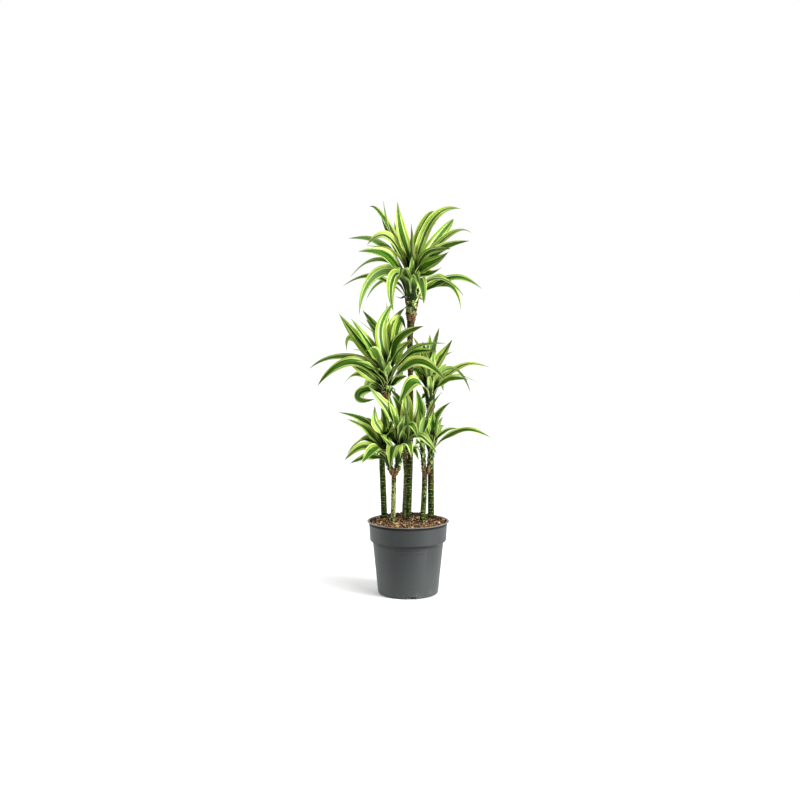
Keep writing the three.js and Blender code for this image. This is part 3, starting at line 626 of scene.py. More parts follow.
cane_bark, start = new_finish("cane_bark")
where = object_place(start)
uv = start.node("TexCoord", {}, {}, "UV")
along = part_of(uv, "Y")
brown = carried(start, "brown")
pale = carried(start, "pale")
patch = mottle(where, 70, 4.0)
blotch = mottle(stretched(where, 1, 1, 0.6), 210, 3.0)
fibre = mottle(stretched(where, 1, 1, 0.08), 900, 3.0)
from_ring = abs((along + 0.5 + 0.1 * (blotch - 0.5)) % 1.0 - 0.5)
green = tinted(fade(patch, 0.3, 0.7), paint(10, 24, 0), paint(54, 74, 8))
straw = tinted(fade(blotch, 0.3, 0.7), paint(46, 56, 12), paint(150, 154, 98))
umber = tinted(fade(blotch, 0.3, 0.7), paint(12, 9, 0), paint(76, 66, 30))
scar = (1 - fade(from_ring, 0.05, 0.13)) * fade(blotch, 0.44, 0.58)
# Painted shade: a dark band in the crease beside each ring scar
crease_shade = plateau(from_ring, 0.06, 0.14, 0.18, 0.3)
colour = coated(
    green,
    (fade(blotch + 0.8 * pale, 0.78, 1.02), straw),
    (fade(patch + 0.9 * brown, 0.85, 1.1), umber),
    (fade(fibre, 0.55, 0.8) * 0.4, paint(24, 26, 14)),
    (scar * (0.65 - 0.45 * brown), paint(190, 196, 140)),
    (crease_shade * 0.7, paint(9, 12, 0)))
close_finish(start, colour, 0.62 + 0.25 * patch, fibre * 0.5 + blotch, 0.0007,
             Specular_IOR_Level=0.05)
for seed, (name, (points, stops)) in enumerate(CANES.items(), 1):
    grow_cane(name, points, stops, seed)

# ---- Low left crown -------------------------------------------------------------------------
# The pale cane at the front forks into two young shoots. Each shoot is a short stem wrapped in
# leaf sheaths, and its leaves are long, channelled and waxy: a dark green middle with white
# lines beside it, and broad lime margins. Dry brown scales close the fork.

STEM_SIDES = 20
STEM_ROWS = 30
STEM_SWELL = 0.05  # share of the radius
STEM_SWELL_LENGTH = 9
# Stops of height over a stem's foot and dryness there. A fork is dry all the way.
STEM_DRY = ((0, 1.0), (14, 0.85), (30, 0.1), (60, 0.0))
FORK_DRY = ((0, 1.0),)
FORK_ROWS = 6
CARRIED = ("variety", "old", "dry")  # what each point of a crown carries for its finish
DRAW_STEP = 16807
DRAW_LIMIT = 2147483647
GOLDEN = 0.618034  # share of a turn from one leaf to the next
# Every leaf: shares of its length are counted from its root
ROOT_DEPTH = 0.55  # share of the stem's radius
HANDLE_LEAST = 0.2
HANDLE_MOST = 0.45
BISECTIONS = 16
TURNED_BY = 0.3  # share of its length where it has turned all the way
WOBBLE = math.radians(7)
WOBBLE_RATE = 3
WITHERED_WIDTH = 10  # a leaf narrower than this has withered
WITHERED = 0.75
# The leaves that fill an open sector, from the lowest to the highest
FILL_RISE = (40, 80)
FILL_END = (-60, 40)
FILL_RISE_SPREAD = 10
FILL_END_SPREAD = 30
FILL_LENGTH = (195, 235)
FILL_WIDTH = (26, 33)
FILL_TURN_SPREAD = 60
FILL_CHORD = 0.86
# The blade
LEAF_ROOT_WIDTH = 0.42  # share of the full width
LEAF_WIDEST = 0.4
LEAF_TAPER = 2.2
MORE_THAN_SEEN = 1.2  # a leaf is wider and turned further than it looks at first sight
LEAF_ROW = 8.5
LEAF_LEAST_ROWS = 10
# The places across one side of a leaf, from edge to edge
ACROSS = (-1, -0.74, -0.44, -0.14, 0, 0.14, 0.44, 0.74, 1)
# Half the angle of the arc that a leaf's section makes, in radians, and where it changes
ARCH_MOST = 1.2
ARCH_ROOT = 0.575
ARCH_TIP = 0.3
ARCH_OPENS = (0, 0.18)
ARCH_FLATTENS = (0.1, 0.75)
MIDRIB = 1.15
MIDRIB_THINNING = 0.55
MIDRIB_STARTS = (-0.5, 1.5)  # rows of the sheath
MIDRIB_FALL = 1.6  # the power by which it thins towards the edges
EDGE_THICKNESS = 0.35
EDGE_WAVE = 1.6
EDGE_WAVE_SPREAD = 0.7
EDGE_WAVE_WIDTH = 24  # a leaf narrower than this has smaller waves
EDGE_WAVE_COUNT = (1.3, 2.6)
# The sheath
SHEATH_ROWS = 5
SHEATH_LENGTH = (14, 30)
SHEATH_WHOLE = 120  # a leaf shorter than this has a shorter sheath
SHEATH_WIDTH = 1.1  # half of it, as a share of the stem's radius
SHEATH_FLARE = 1.5
SHEATH_PATTERN = 0.02  # share of a leaf's length that the pattern runs in one row
SHEATH_LIFT = (1.6, 0.4)  # how far the oldest and the youngest leaf stand off the stem
CLEAR_OF_STEM = (0, 0.16)  # the stretch of blade that the sheath still holds out
EASED_ROWS = (SHEATH_ROWS - 2, SHEATH_ROWS + 4)  # where the sheath bends over into the blade
EASINGS = 3
# Dry scales close the foot of a shoot, and green sheaths higher up have lost their blades
SCALE_COUNT = 15
SCALE_FROM = 4
SCALE_STEP = 1.7
SCALE_LENGTH = (9, 20)
SCALE_STAND_OFF = 2.5
SCALE_DRY = (0.75, 1)
SCALE = {"climb": 0.8, "slopes": (80, 70), "width": 1.1, "age": 0.0, "old": 0.0}
OLD_COUNT = 26
OLD_FROM = 22
OLD_BELOW_TOP = 24
OLD_LENGTH = (24, 38)
OLD_STAND_OFF = (1, 3.5)
OLD_SHEATH = {"climb": 0.97, "slopes": (88, 84), "width": 1.25, "age": -0.7, "old": 1.0}


def draws_from(seed):
    """The run of draws between 0 and 1 that places the leaves of a shoot."""
    state = seed
    while True:
        state = state * DRAW_STEP % DRAW_LIMIT
        yield state / DRAW_LIMIT


def between(limits, share):
    return limits[0] + (limits[1] - limits[0]) * share


def outward(angle):
    return Vector((math.cos(angle), math.sin(angle), 0))


def smooth(low, high, value):
    share = min(1, max(0, (value - low) / (high - low)))
    return share * share * (3 - 2 * share)


def leaf_outline(share):
    if share < LEAF_WIDEST:
        rise = math.sin(math.pi / 2 * share / LEAF_WIDEST)
        return LEAF_ROOT_WIDTH + (1 - LEAF_ROOT_WIDTH) * rise
    return 1 - ((share - LEAF_WIDEST) / (1 - LEAF_WIDEST)) ** LEAF_TAPER


def midrib(reach, climb, rise, end, length, count):
    """The leaf's midrib in its own upright plane, with handles as long as give its length."""
    lift, fall = math.radians(rise), math.radians(end)
    foot, tip = Vector((0, 0)), Vector((reach, climb))
    low, high = HANDLE_LEAST * length, HANDLE_MOST * length
    for i in range(BISECTIONS):
        handle = (low + high) / 2
        points = geometry.interpolate_bezier(
            foot, handle * Vector((math.cos(lift), math.sin(lift))),
            tip - handle * Vector((math.cos(fall), math.sin(fall))), tip, count)
        if sum((b - a).length for a, b in zip(points, points[1:])) < length:
            low = handle
        else:
            high = handle
    return points


def grow_leaf(bm, stem, height, tip, rise, end, length, width, turn, draw, age, dry=0.0, old=0.0):
    """One leaf: its sheath round the stem, then its blade out to the tip, as one skin that is
    open only at the sheath's foot, under the sheaths below it."""
    uv = bm.loops.layers.uv.verify()
    layers = [bm.verts.layers.float[name] for name in CARRIED]
    place, radius = stem_at(stem, height)
    away = Vector((tip.x - place.x, tip.y - place.y, 0)).normalized()
    root = place + away * ROOT_DEPTH * radius
    blade_rows = max(LEAF_LEAST_ROWS, round(length / LEAF_ROW))
    rib = midrib(away.dot(tip - root), tip.z - root.z, rise, end, length, blade_rows + 1)
    lift = between(SHEATH_LIFT, age)
    sheath = draw.uniform(*SHEATH_LENGTH) * min(1, length / SHEATH_WHOLE)
    spine = []
    for i in range(SHEATH_ROWS):
        low = height - sheath * (1 - i / SHEATH_ROWS)
        at, around = stem_at(stem, max(low, stem[0][2]))
        spine.append(Vector((at.x, at.y, low)) + away * (around + lift))
    for i, point in enumerate(rib):
        push = (1 - ROOT_DEPTH) * radius + lift
        push *= 1 - smooth(*CLEAR_OF_STEM, i / blade_rows)
        spine.append(root + away * (point.x + push) + Vector((0, 0, point.y)))
    for repeat in range(EASINGS):
        for i in range(*EASED_ROWS):
            spine[i] = (spine[i - 1] + 2 * spine[i] + spine[i + 1]) / 4
    variety = draw.random()
    phases = [draw.uniform(0, 2 * math.pi) for i in range(3)]
    waves = draw.uniform(*EDGE_WAVE_COUNT)
    side_out = Vector((0, 0, 1)).cross(away)
    last = len(spine) - 1
    sections = []
    for i, centre in enumerate(spine):
        share = max(0, (i - SHEATH_ROWS) / blade_rows)
        along = (spine[min(i + 1, last)] - spine[max(i - 1, 0)]).normalized()
        face = side_out.cross(along).normalized() * -1
        wobble = WOBBLE * math.sin(math.pi * share) * math.sin(phases[2] + WOBBLE_RATE * share)
        most = math.copysign(1, away.x) * MORE_THAN_SEEN * math.radians(turn)
        turned = most * min(1, share / TURNED_BY)
        twist = Matrix.Rotation(turned + wobble, 3, along)
        face = twist @ face
        side = face.cross(along)
        if i < SHEATH_ROWS:
            half = between((SHEATH_WIDTH * radius, MORE_THAN_SEEN * LEAF_ROOT_WIDTH * width / 2),
                           (i / SHEATH_ROWS) ** SHEATH_FLARE)
            arch = half / (radius + lift)
        else:
            half = MORE_THAN_SEEN * width / 2 * leaf_outline(share)
            arch = between((min(ARCH_MOST, half / (radius + lift)), ARCH_ROOT),
                           smooth(*ARCH_OPENS, share))
            arch = between((arch, ARCH_TIP), smooth(*ARCH_FLATTENS, share))
        thick = MIDRIB * (1 - MIDRIB_THINNING * share) * smooth(*MIDRIB_STARTS, i)
        ripple = EDGE_WAVE * math.sin(math.pi * share) ** EDGE_WAVE_SPREAD
        ripple *= min(1, width / EDGE_WAVE_WIDTH)
        sections.append((centre, side, face, half, arch, thick, ripple, share))

    count = len(ACROSS) - 1
    grid = bmesh.ops.create_grid(bm, x_segments=2 * count, y_segments=last, size=1)["verts"]
    spots = {}
    for vert in grid:
        column = round((vert.co.x + 1) * count)
        row = round((vert.co.y + 1) / 2 * last)
        centre, side, face, half, arch, thick, ripple, share = sections[row]
        under = column > count
        s = ACROSS[2 * count - column if under else column]
        bend = half / arch
        out = bend * math.sin(s * arch)
        up = bend * (1 - math.cos(s * arch))
        wave = math.sin(2 * math.pi * waves * share + phases[0 if s < 0 else 1])
        up += ripple * s * s * wave
        if under:
            skin = EDGE_THICKNESS * (1 - s * s) * (thick > 0)
            up -= thick * (1 - abs(s) ** MIDRIB_FALL) + skin
        vert.co = (centre + side * out + face * up) * MM
        spots[vert] = ((0.5 + (1 - s) / 4) if under else (s + 1) / 4,
                       share if row >= SHEATH_ROWS else (row - SHEATH_ROWS) * SHEATH_PATTERN)
        for layer, value in zip(layers, (variety, old, dry)):
            vert[layer] = value
    for face in {face for vert in grid for face in vert.link_faces}:
        for loop in face.loops:
            loop[uv].uv = spots[loop.vert]
        face.smooth = True
    bmesh.ops.remove_doubles(bm, verts=grid, dist=2 * SAME_PLACE)


def grow_stem(bm, points, rows, dry_stops):
    """The round stem inside the sheaths, with stops of height over its foot and dryness."""
    foot, top = points[0][2], points[-1][2]

    def place_of(row, angle):
        height = foot + (top - foot) * row / (rows - 1)
        place, radius = stem_at(points, height)
        swell = STEM_SWELL * noise.noise(
            Vector((SWELL_ROUND * math.cos(angle), angle, height / STEM_SWELL_LENGTH)))
        return place + radius * (1 + swell) * outward(angle), 0.0

    kept = roll(bm, STEM_SIDES, rows, place_of)
    layers = [bm.verts.layers.float[name] for name in CARRIED]
    for vert in kept:
        dry = level_at(dry_stops, vert.co.z / MM - foot)[0]
        for layer, value in zip(layers, (0.5, 1.0, dry)):
            vert[layer] = value
    for face in {face for vert in kept for face in vert.link_faces}:
        face.material_index = 1


def grow_wrap(bm, stem, i, height, length, stand_off, draw, kind, dry=0.0):
    """A scale or an old sheath: a short leaf that hugs the stem."""
    place, radius = stem_at(stem, height)
    tip = place + outward(i * GOLDEN * 2 * math.pi) * (radius + stand_off)
    tip.z += kind["climb"] * length
    grow_leaf(bm, stem, height, tip, *kind["slopes"], length, kind["width"] * radius, 0, draw,
              kind["age"], dry, kind["old"])


def grow_shoot(bm, shoot):
    """A stem with its named leaves, the leaves that fill its open sector, and its scales."""
    placed = draws_from(shoot["seed"])
    draw = random.Random(shoot["seed"])
    stem, roots, leaves = shoot["stem"], shoot["roots"], shoot["leaves"]
    foot = Vector(shoot["foot"])
    base = stem[0][2]
    grow_stem(bm, stem, STEM_ROWS, STEM_DRY)
    for i, (right, back, up, rise, end, length, width, turn) in enumerate(leaves):
        age = i / (len(leaves) - 1)
        grow_leaf(bm, stem, between(roots, age), foot + Vector((right, back, up)), rise, end,
                  length, width, turn, draw, age, WITHERED if width < WITHERED_WIDTH else 0.0)
    for i in range(shoot.get("fill", 0)):
        age = (i + 0.5) / shoot["fill"]
        angle = math.radians(between(shoot["sector"], (0.5 + i * GOLDEN) % 1))
        rise = between(FILL_RISE, age) + FILL_RISE_SPREAD * (next(placed) - 0.5)
        end = between(FILL_END, age) + FILL_END_SPREAD * (next(placed) - 0.5)
        length = between(FILL_LENGTH, next(placed))
        width = between(FILL_WIDTH, next(placed))
        turn = FILL_TURN_SPREAD * (next(placed) - 0.5)
        tilt = math.radians((rise + end) / 2)
        height = between(roots, age)
        tip = stem_at(stem, height)[0] + FILL_CHORD * length * Vector((
            math.cos(tilt) * math.cos(angle), math.cos(tilt) * math.sin(angle), math.sin(tilt)))
        grow_leaf(bm, stem, height, tip, rise, end, length, width, turn, draw, age)
    for i in range(SCALE_COUNT):
        height = base + SCALE_FROM + SCALE_STEP * i
        length = draw.uniform(*SCALE_LENGTH)
        dry = draw.uniform(*SCALE_DRY)
        grow_wrap(bm, stem, i, height, length, SCALE_STAND_OFF, draw, SCALE, dry)
    for i in range(OLD_COUNT):
        height = between((base + OLD_FROM, roots[1] - OLD_BELOW_TOP), (i + 0.5) / OLD_COUNT)
        length = draw.uniform(*OLD_LENGTH)
        stand_off = draw.uniform(*OLD_STAND_OFF)
        grow_wrap(bm, stem, i, height, length, stand_off, draw, OLD_SHEATH)


def grow_crown(name, shoots, fork=None):
    bm = bmesh.new()
    for layer in CARRIED:
        bm.verts.layers.float.new(layer)
    if fork:
        grow_stem(bm, fork, FORK_ROWS, FORK_DRY)
    for shoot in shoots:
        grow_shoot(bm, shoot)
    bmesh.ops.recalc_face_normals(bm, faces=bm.faces)
    make_piece(name, bm, [leaf_blade, sheathed_stem])


leaf_blade, start = new_finish("leaf_blade")
uv = start.node("TexCoord", {}, {}, "UV")
around = part_of(uv, "X")
along = part_of(uv, "Y")
variety = carried(start, "variety")
old = carried(start, "old")
dry = carried(start, "dry")
across = abs(around - 0.5) * 4 - 1
middle = abs(across + 0.22 * ((variety * 3.17) % 1.0 - 0.5))
underside = fade(around, 0.499, 0.501)


def streaks(wide, long, offset):
    """Noise drawn out along the leaf: so many streaks across it and so many along it."""
    place = start.node("CombineXYZ", {}, {
        "X": across * wide, "Y": along * long, "Z": variety * 60 + offset})
    return start.node("TexNoise", {}, {"Vector": place, "Scale": 1.0, "Detail": 2.0})


broad = streaks(2.2, 1.6, 0)
medium = streaks(7, 1.2, 20)
fine = streaks(16, 1.6, 40)
other_draw = (variety * 7.31) % 1.0
spread = middle + 0.5 * (broad - 0.5) + 0.34 * (fine - 0.5)
at_base = 1 - fade(along, 0.05, 0.24) * (1 - old)
green_half = 0.24 + 0.4 * other_draw + at_base * (0.48 - 0.4 * other_draw)
past_green = spread - green_half
line = plateau(past_green, -0.03, 0.01, 0.08, 0.14)
band = fade(medium, 0.35, 0.65)
vein = fade(fine, 0.54, 0.66)
greener = fade((variety * 11.7) % 1.0, 0.4, 0.6)
pallor = (variety * 5.73) % 1.0
scorch = fade(along, 0.965, 0.985) * fade(other_draw, 0.35, 0.4)
lime = coated(
    tinted(band, paint(118, 154, 14), paint(204, 214, 110)),
    (greener * 0.55, paint(102, 146, 18)),
    (vein * 0.55, paint(54, 104, 0)),
    (fade(middle, 0.84, 0.97) * 0.6, paint(224, 234, 140)))
deep = tinted(vein * 0.6, tinted(band, paint(18, 48, 0), paint(72, 118, 14)), paint(124, 158, 78))
withered = tinted(fade(middle, 0.7, 0.95) * 0.7,
                  tinted(medium, paint(40, 20, 11), paint(122, 76, 48)), paint(190, 160, 120))
colour = coated(
    lime,
    (1 - fade(past_green, -0.02, 0.03), deep),
    (line * (0.4 + 0.6 * fade(medium, 0.35, 0.6)), paint(208, 222, 162)),
    # The tip is greener, the underside paler, and the sheath dark between pale edges
    (fade(along, 0.72, 1.0) * 0.55, paint(44, 78, 12)),
    (underside * (0.1 + 0.45 * pallor) * (1 - 0.7 * at_base), paint(130, 160, 90)),
    # The sheath's dark middle is its own dark green, deepened with painted shade from inside the
    # crown
    (at_base * (1 - fade(middle, 0.72, 0.86)) * 0.92, paint(16, 30, 2)),
    (at_base * fade(middle, 0.8, 0.9) * 0.8, paint(176, 194, 118)),
    (at_base * fade(medium, 0.5, 0.6) * 0.8, paint(12, 22, 0)),
    (scorch * 0.9, paint(112, 78, 44)),
    (dry, withered))
close_finish(start, colour, 0.34 + 0.12 * medium + 0.2 * underside + 0.3 * dry, fine, 0.00025,
             Specular_IOR_Level=0.08)

sheathed_stem, start = new_finish("sheathed_stem")
where = object_place(start)
dry = carried(start, "dry")
ribs = mottle(stretched(where, 1, 1, 0.1), 420, 3.0)
blotch = mottle(where, 240, 3.0)
husk = tinted(fade(0.5 * ribs + 0.5 * blotch, 0.46, 0.6), paint(24, 13, 4), paint(138, 104, 76))
colour = coated(
    tinted(fade(ribs, 0.46, 0.62), paint(12, 22, 0), paint(150, 160, 94)),
    (fade(blotch, 0.54, 0.68) * 0.8, paint(10, 18, 0)),
    (fade(dry + 0.5 * (blotch - 0.5), 0.3, 0.6), husk))
close_finish(start, colour, 0.6 + 0.25 * blotch, ribs + blotch, 0.0006, Specular_IOR_Level=0.1)

# A shoot's stem runs through points with a radius, and its leaves root between two heights.
# Each leaf has its tip, to the right, back and up from the foot, its slopes at root and tip in
# degrees, its length and width, and how far it is turned about its length.
LOW_LEFT_OUTER = {
    "foot": (-63, -30, 440),
    "stem": ((-50, -26, 398, 7), (-60, -29, 425, 8.5), (-66, -32, 460, 9.5), (-71, -34, 500, 9),
      (-73, -35, 535, 3)),
    "roots": (450, 528),
    "seed": 41,
    "leaves": (
      (-128, -5, -1, 18, -28, 142, 26, 35), (-41, -90, 39, 45, -20, 115, 22, 20),
      (-145, -50, 16, 38, -45, 183, 30, 40), (-138, 20, 28, 50, -55, 185, 26, 20),
      (-118, 40, 57, 50, -40, 170, 24, 15), (-86, -110, 16, 25, -40, 160, 34, 30),
      (-137, -20, 148, 45, 20, 200, 28, 50), (-167, 10, 167, 55, 10, 225, 26, 30),
      (-88, 60, 144, 55, 30, 165, 24, 30), (-36, -80, 112, 60, 20, 130, 18, 20),
      (-75, 90, 142, 60, 20, 150, 24, 20), (-27, 0, 184, 75, 65, 155, 30, 60),
      (-46, -20, 192, 65, 95, 165, 32, 65), (12, -15, 150, 82, 75, 125, 34, 60),
      (-13, 2, 162, 80, 70, 130, 34, 60),
    ),
}
LOW_LEFT_INNER = {
    "foot": (-32, -30, 440),
    "stem": ((-44, -26, 398, 7), (-35, -30, 425, 8.5), (-31, -34, 460, 9.5), (-30, -38, 500, 9),
      (-30, -40, 535, 3)),
    "roots": (450, 528),
    "seed": 53,
    "leaves": (
      (-26, -95, -4, 65, -85, 190, 38, 0), (-10, -80, 27, 60, -75, 140, 34, 0),
      (42, -70, 26, 60, -85, 150, 26, 10), (-66, -50, 108, 45, 45, 115, 22, 40),
      (125, -80, 40, 55, -55, 200, 28, 30),
      (22, -2, 133, 80, 60, 145, 36, 60), (-52, 8, 136, 58, 62, 150, 38, 60),
      (62, -60, 90, 75, -75, 165, 32, 20), (21, -50, 168, 75, 55, 150, 24, 10),
      (-32, -20, 238, 85, 80, 185, 28, 50), (-100, -50, 263, 72, 50, 265, 32, 60),
    ),
}
grow_crown("crown_low_left", [LOW_LEFT_OUTER, LOW_LEFT_INNER],
           fork=((-47, -25, 393.3, 8), (-47, -25, 408, 8)))

# ---- Low centre crown -----------------------------------------------------------------------
# One young shoot leans forward from the brown cane in the middle, in front of the tall cane.

LOW_CENTRE = {
    "foot": (-4, 5, 460),
    "stem": ((-11, 27, 456, 7), (-6, 8, 472, 8.5), (-2, -8, 490, 9.5), (3, -15, 515, 9),
      (6, -18, 548, 3)),
    "roots": (482, 538),
    "seed": 67,
    "fill": 3,
    "sector": (116, 132),
    "leaves": (
      (38, -52, -8, 20, -60, 80, 14, 20), (78, -30, 58, 78, -75, 165, 28, 30),
      (-50, -10, 202, 72, 50, 175, 31, 65), (-14, -40, 181, 75, 60, 130, 24, 10),
      (-12, -15, 231, 76, 70, 175, 36, 60), (30, -18, 223, 62, 108, 172, 32, 70),
    ),
}
grow_crown("crown_low_centre", [LOW_CENTRE], fork=((-12, 30, 452.3, 8.5), (-12, 28, 464, 8)))

# ---- Low right crown ------------------------------------------------------------------------
# The green cane at the front right forks into two young shoots. The inner one is slim, and
# the outer one carries more leaves.

LOW_RIGHT_INNER = {
    "foot": (49, -40, 452),
    "stem": ((53, -36, 404, 6.5), (50, -38, 435, 5.5), (49, -40, 462, 6), (45, -43, 500, 6.5),
      (43, -45, 532, 3)),
    "roots": (468, 524),
    "seed": 71,
    "leaves": (
      (-38, -34, 40, 45, -25, 75, 22, 30), (-27, -62, 58, 72, -20, 90, 24, 30),
      (16, -70, 137, 80, -30, 150, 28, 20),
      (61, -30, 228, 72, 48, 205, 26, 30), (-14, 20, 169, 80, 70, 130, 24, 20),
    ),
}
LOW_RIGHT_OUTER = {
    "foot": (77, -42, 452),
    "stem": ((57, -36, 404, 7), (68, -38, 420, 7.5), (73, -40, 445, 7.5), (76, -42, 470, 8),
      (76, -44, 505, 8), (76, -45, 536, 3)),
    "roots": (470, 526),
    "seed": 83,
    "leaves": (
      (-45, 90, 70, 55, -40, 160, 26, 0), (39, 60, 137, 65, 30, 135, 18, 30),
      (50, 115, 100, 60, -10, 175, 26, 10), (192, -30, 77, 37, -30, 213, 25, 30),
      (63, 10, 191, 82, 35, 185, 26, 30), (87, 30, 102, 40, 0, 105, 20, 20),
      (17, 20, 146, 80, 70, 120, 24, 20), (6, 4, 165, 85, 80, 145, 30, 40),
    ),
}
grow_crown("crown_low_right", [LOW_RIGHT_INNER, LOW_RIGHT_OUTER],
           fork=((54, -36, 399.3, 8.5), (54, -36, 413, 8)))

# ---- Middle left crown ----------------------------------------------------------------------
# A full rosette on the left-hand cane. Its oldest leaves hang, and one has curled right round.

MID_LEFT = {
    "foot": (-73, -5, 640),
    "stem": ((-73, -10, 645.3, 9.5), (-72, -9, 665, 13), (-69, -8, 705, 12),
      (-66, -7, 740, 8), (-65, -7, 768, 3)),
    "roots": (668, 760),
    "seed": 23,
    "fill": 5,
    "sector": (60, 175),
    "leaves": (
      (-37, 12, 8, 22, -195, 232, 30, 60), (-62, 40, 22, 20, -80, 110, 20, 30),
      (31, 40, 20, 20, -70, 80, 16, 30), (13, -35, 39, 20, -75, 75, 18, 0),
      (-141, 60, 54, 30, -52, 180, 20, 30), (69, -40, 88, 40, 10, 105, 30, 60),
      (-135, -20, 145, 40, 35, 190, 32, 60), (191, -90, 78, 55, -50, 270, 34, 55),
      (-222, -60, 57, 56, -54, 284, 36, 40), (-253, 10, 108, 66, -40, 298, 32, 30),
      (-100, -70, 139, 50, 15, 165, 34, 30), (-130, 50, 163, 72, -98, 254, 28, 55),
      (-70, -100, 163, 65, -40, 190, 24, -10), (-31, -55, 117, 60, 30, 120, 28, 20),
      (11, -45, 140, 80, 70, 120, 26, 20), (-15, -45, 155, 80, 60, 130, 24, 20),
      (166, -40, 169, 55, -5, 215, 28, 45), (194, -60, 196, 55, 0, 250, 28, 25),
      (-154, -30, 293, 55, 55, 275, 36, 70), (-112, -60, 276, 60, 52, 255, 38, 60),
      (123, -70, 252, 80, 15, 235, 36, 60), (85, -20, 206, 68, 36, 180, 38, 60),
      (65, 38, 232, 90, -75, 238, 38, 60), (-79, 40, 301, 75, 45, 245, 32, 50),
      (-66, 0, 272, 75, 48, 215, 31, 55),
      (33, -50, 250, 80, 65, 190, 30, 60), (64, 50, 309, 88, 32, 242, 30, 55),
      (2, -20, 272, 85, 80, 165, 30, 60), (26, 20, 328, 120, 40, 256, 36, 60),
      (2, 70, 325, 106, 55, 234, 30, 50),
    ),
}
grow_crown("crown_mid_left", [MID_LEFT])

# ---- Middle right crown ---------------------------------------------------------------------
# A narrower rosette on the right-hand cane. Some of its leaves pass behind the tall cane.

MID_RIGHT = {
    "foot": (74, 50, 600),
    "stem": ((74, 50, 599.3, 10), (74, 50, 625, 14), (73, 50, 665, 13), (72, 50, 705, 8.5),
      (71, 50, 732, 3)),
    "roots": (650, 722),
    "seed": 37,
    "fill": 6,
    "sector": (0, 150),
    "leaves": (
      (-34, -10, 45, 30, -20, 60, 16, 40), (-105, -110, 38, 52, -52, 228, 42, 30),
      (124, -60, 114, 50, -8, 166, 25, 40), (6, -60, 103, 70, -85, 115, 24, 20),
      (67, 40, 134, 55, 20, 145, 26, 40), (132, -40, 69, 70, -70, 245, 28, -30),
      (57, 60, 157, 60, 20, 140, 26, 40), (-88, 30, 139, 50, -10, 160, 26, 40),
      (199, 20, 148, 34, -20, 227, 22, 30), (-57, 40, 205, 62, 55, 185, 28, 50),
      (-86, 70, 224, 62, 30, 225, 28, 50), (-19, -50, 211, 78, 70, 150, 28, 10),
      (11, -40, 210, 78, 70, 145, 28, 10), (-58, 30, 251, 72, 55, 200, 26, 20),
      (-25, 60, 235, 75, 60, 185, 26, 20), (73, -20, 245, 68, 58, 190, 30, 60),
      (3, 40, 246, 82, 75, 160, 28, 50), (29, -10, 283, 85, 75, 180, 32, 50),
    ),
}
grow_crown("crown_mid_right", [MID_RIGHT])

# ---- Top crown ------------------------------------------------------------------------------
# The largest rosette, on the tallest cane. Its stem is thick with the sheaths of its leaves.

TOP = {
    "foot": (9, 15, 930),
    "stem": ((9, 15, 905.3, 13), (10, 15, 940, 18), (12, 15, 985, 20), (11, 14, 1045, 12),
      (10, 14, 1095, 3)),
    "roots": (970, 1084),
    "seed": 11,
    "fill": 7,
    "sector": (15, 175),
    "leaves": (
      (54, -10, 49, 45, 20, 85, 9, 30), (-49, -10, 56, 45, 30, 80, 9, 30),
      (165, 30, 11, 46, -85, 238, 34, 30), (171, -20, 59, 60, -50, 215, 28, 20),
      (233, 10, 81, 29, -38, 250, 29, 40), (-221, -15, 91, 30, -32, 256, 24, 25),
      (-148, 15, 44, 50, -62, 198, 22, 20), (-168, -50, -3, 70, -88, 310, 40, -45),
      (-57, -80, 7, 68, -114, 280, 34, 35), (40, -112, 33, 60, -85, 190, 36, 0),
      (28, -130, 91, 65, -35, 190, 24, 20), (-38, -95, 110, 60, -75, 160, 26, 0),
      (-199, 20, 119, 67, -52, 256, 24, 25), (-170, -60, 201, 54, -8, 242, 38, 50),
      (3, -40, 190, 86, 75, 140, 26, 30), (98, -50, 150, 55, 35, 170, 28, 40),
      (121, -60, 200, 62, 38, 215, 42, 60), (127, -90, 209, 72, 0, 225, 34, 45),
      (-207, 40, 246, 55, -5, 272, 28, -40), (190, -30, 236, 53, 6, 246, 32, 55),
      (200, 50, 264, 62, -38, 272, 26, 30), (-143, -40, 223, 70, -50, 240, 33, 50),
      (143, 90, 312, 66, 44, 250, 40, 60), (-138, 80, 352, 66, -18, 270, 24, 25),
      (-101, 60, 327, 68, 62, 235, 28, 60), (-90, 20, 367, 65, 85, 260, 28, 5),
      (164, 30, 342, 75, -12, 292, 30, 55), (82, 60, 335, 90, -4, 231, 28, 40),
      (56, 130, 269, 65, 20, 200, 28, 20), (-55, 90, 302, 75, 70, 215, 28, 50),
      (1, -25, 292, 80, 100, 175, 32, 60), (-44, -10, 363, 78, 87, 225, 34, 65),
    ),
}
grow_crown("crown_top", [TOP])

# ---- Floor and light ------------------------------------------------------------------------
# A plain pale floor and soft studio light: a bright room that is dim behind the camera, soft
# light from high on the front right, and a low lamp on each side.

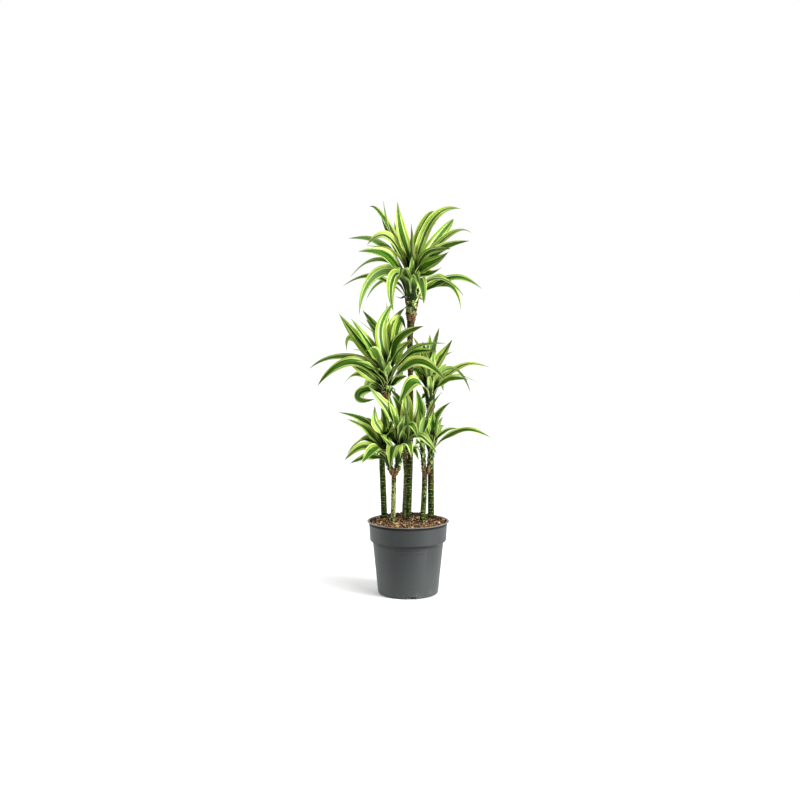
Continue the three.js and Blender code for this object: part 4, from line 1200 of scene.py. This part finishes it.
FLOOR_SIZE = 60
FLOOR_DROP = 0.5 * MM  # how far the floor lies below the pot's foot
ROOM_LIGHT = 1.0
DARK_SIDE = (-0.5, -0.87, 0)  # the way to the unlit end of the room, behind the camera
DARK_LIGHT = 0.05
DARK_FADE = (0.05, 0.6)
DAYLIGHT = (1.75, 36, 48, 52)  # power, softness, and its compass and height angles, in degrees
LAMPS = (
    # place, what it points at, size of its side and power
    ((2.5, -1.4, 0.6), (0, 0, 0.4), 1.1, 125),
    ((-2.6, 0.5, 0.75), (0, 0, 0.5), 1.3, 55),
)

floor_mesh = bmesh.new()
bmesh.ops.create_grid(floor_mesh, x_segments=1, y_segments=1, size=FLOOR_SIZE)
bmesh.ops.translate(floor_mesh, verts=floor_mesh.verts, vec=(0, 0, -FLOOR_DROP))
floor_paint, start = new_finish("floor_paint")
where = object_place(start)
cloud = mottle(where, 3, 3.0)
close_finish(start, tinted(cloud, paint(250, 250, 250), paint(253, 253, 253)),
             0.8 + 0.1 * cloud, cloud, 0.0002)
stand("floor", floor_mesh, [floor_paint])

power, softness, compass, height = DAYLIGHT
daylight = new_object("daylight", bpy.data.lights.new("daylight", "SUN"))
daylight.data.energy = power
daylight.data.angle = math.radians(softness)
daylight.rotation_euler = (math.radians(90 - height), 0, math.radians(compass))
for place, aim, side, power in LAMPS:
    lamp = new_object("soft_light", bpy.data.lights.new("soft_light", "AREA"))
    lamp.data.size = side
    lamp.data.energy = power
    lamp.location = place
    lamp.rotation_euler = (Vector(aim) - Vector(place)).to_track_quat("-Z", "Y").to_euler()

room = bpy.data.worlds.new("room")
room.use_nodes = True
wall = room.node_tree.nodes["Background"]
wall.inputs["Color"].default_value = (1, 1, 1, 1)
start = Socket(room.node_tree)
ray = start.node("LightPath", {}, {}, "Is Camera Ray")
towards = start.node("TexCoord", {}, {}, "Generated")
dark = towards.node("VectorMath", {"operation": "DOT_PRODUCT"}, {0: towards, 1: DARK_SIDE}, "Value")
lit = ROOM_LIGHT - (ROOM_LIGHT - DARK_LIGHT) * fade(dark, *DARK_FADE)
shown = lit + (1 - lit) * ray
room.node_tree.links.new(shown.output, wall.inputs["Strength"])
bpy.context.scene.world = room
bpy.context.scene.view_settings.view_transform = "Standard"
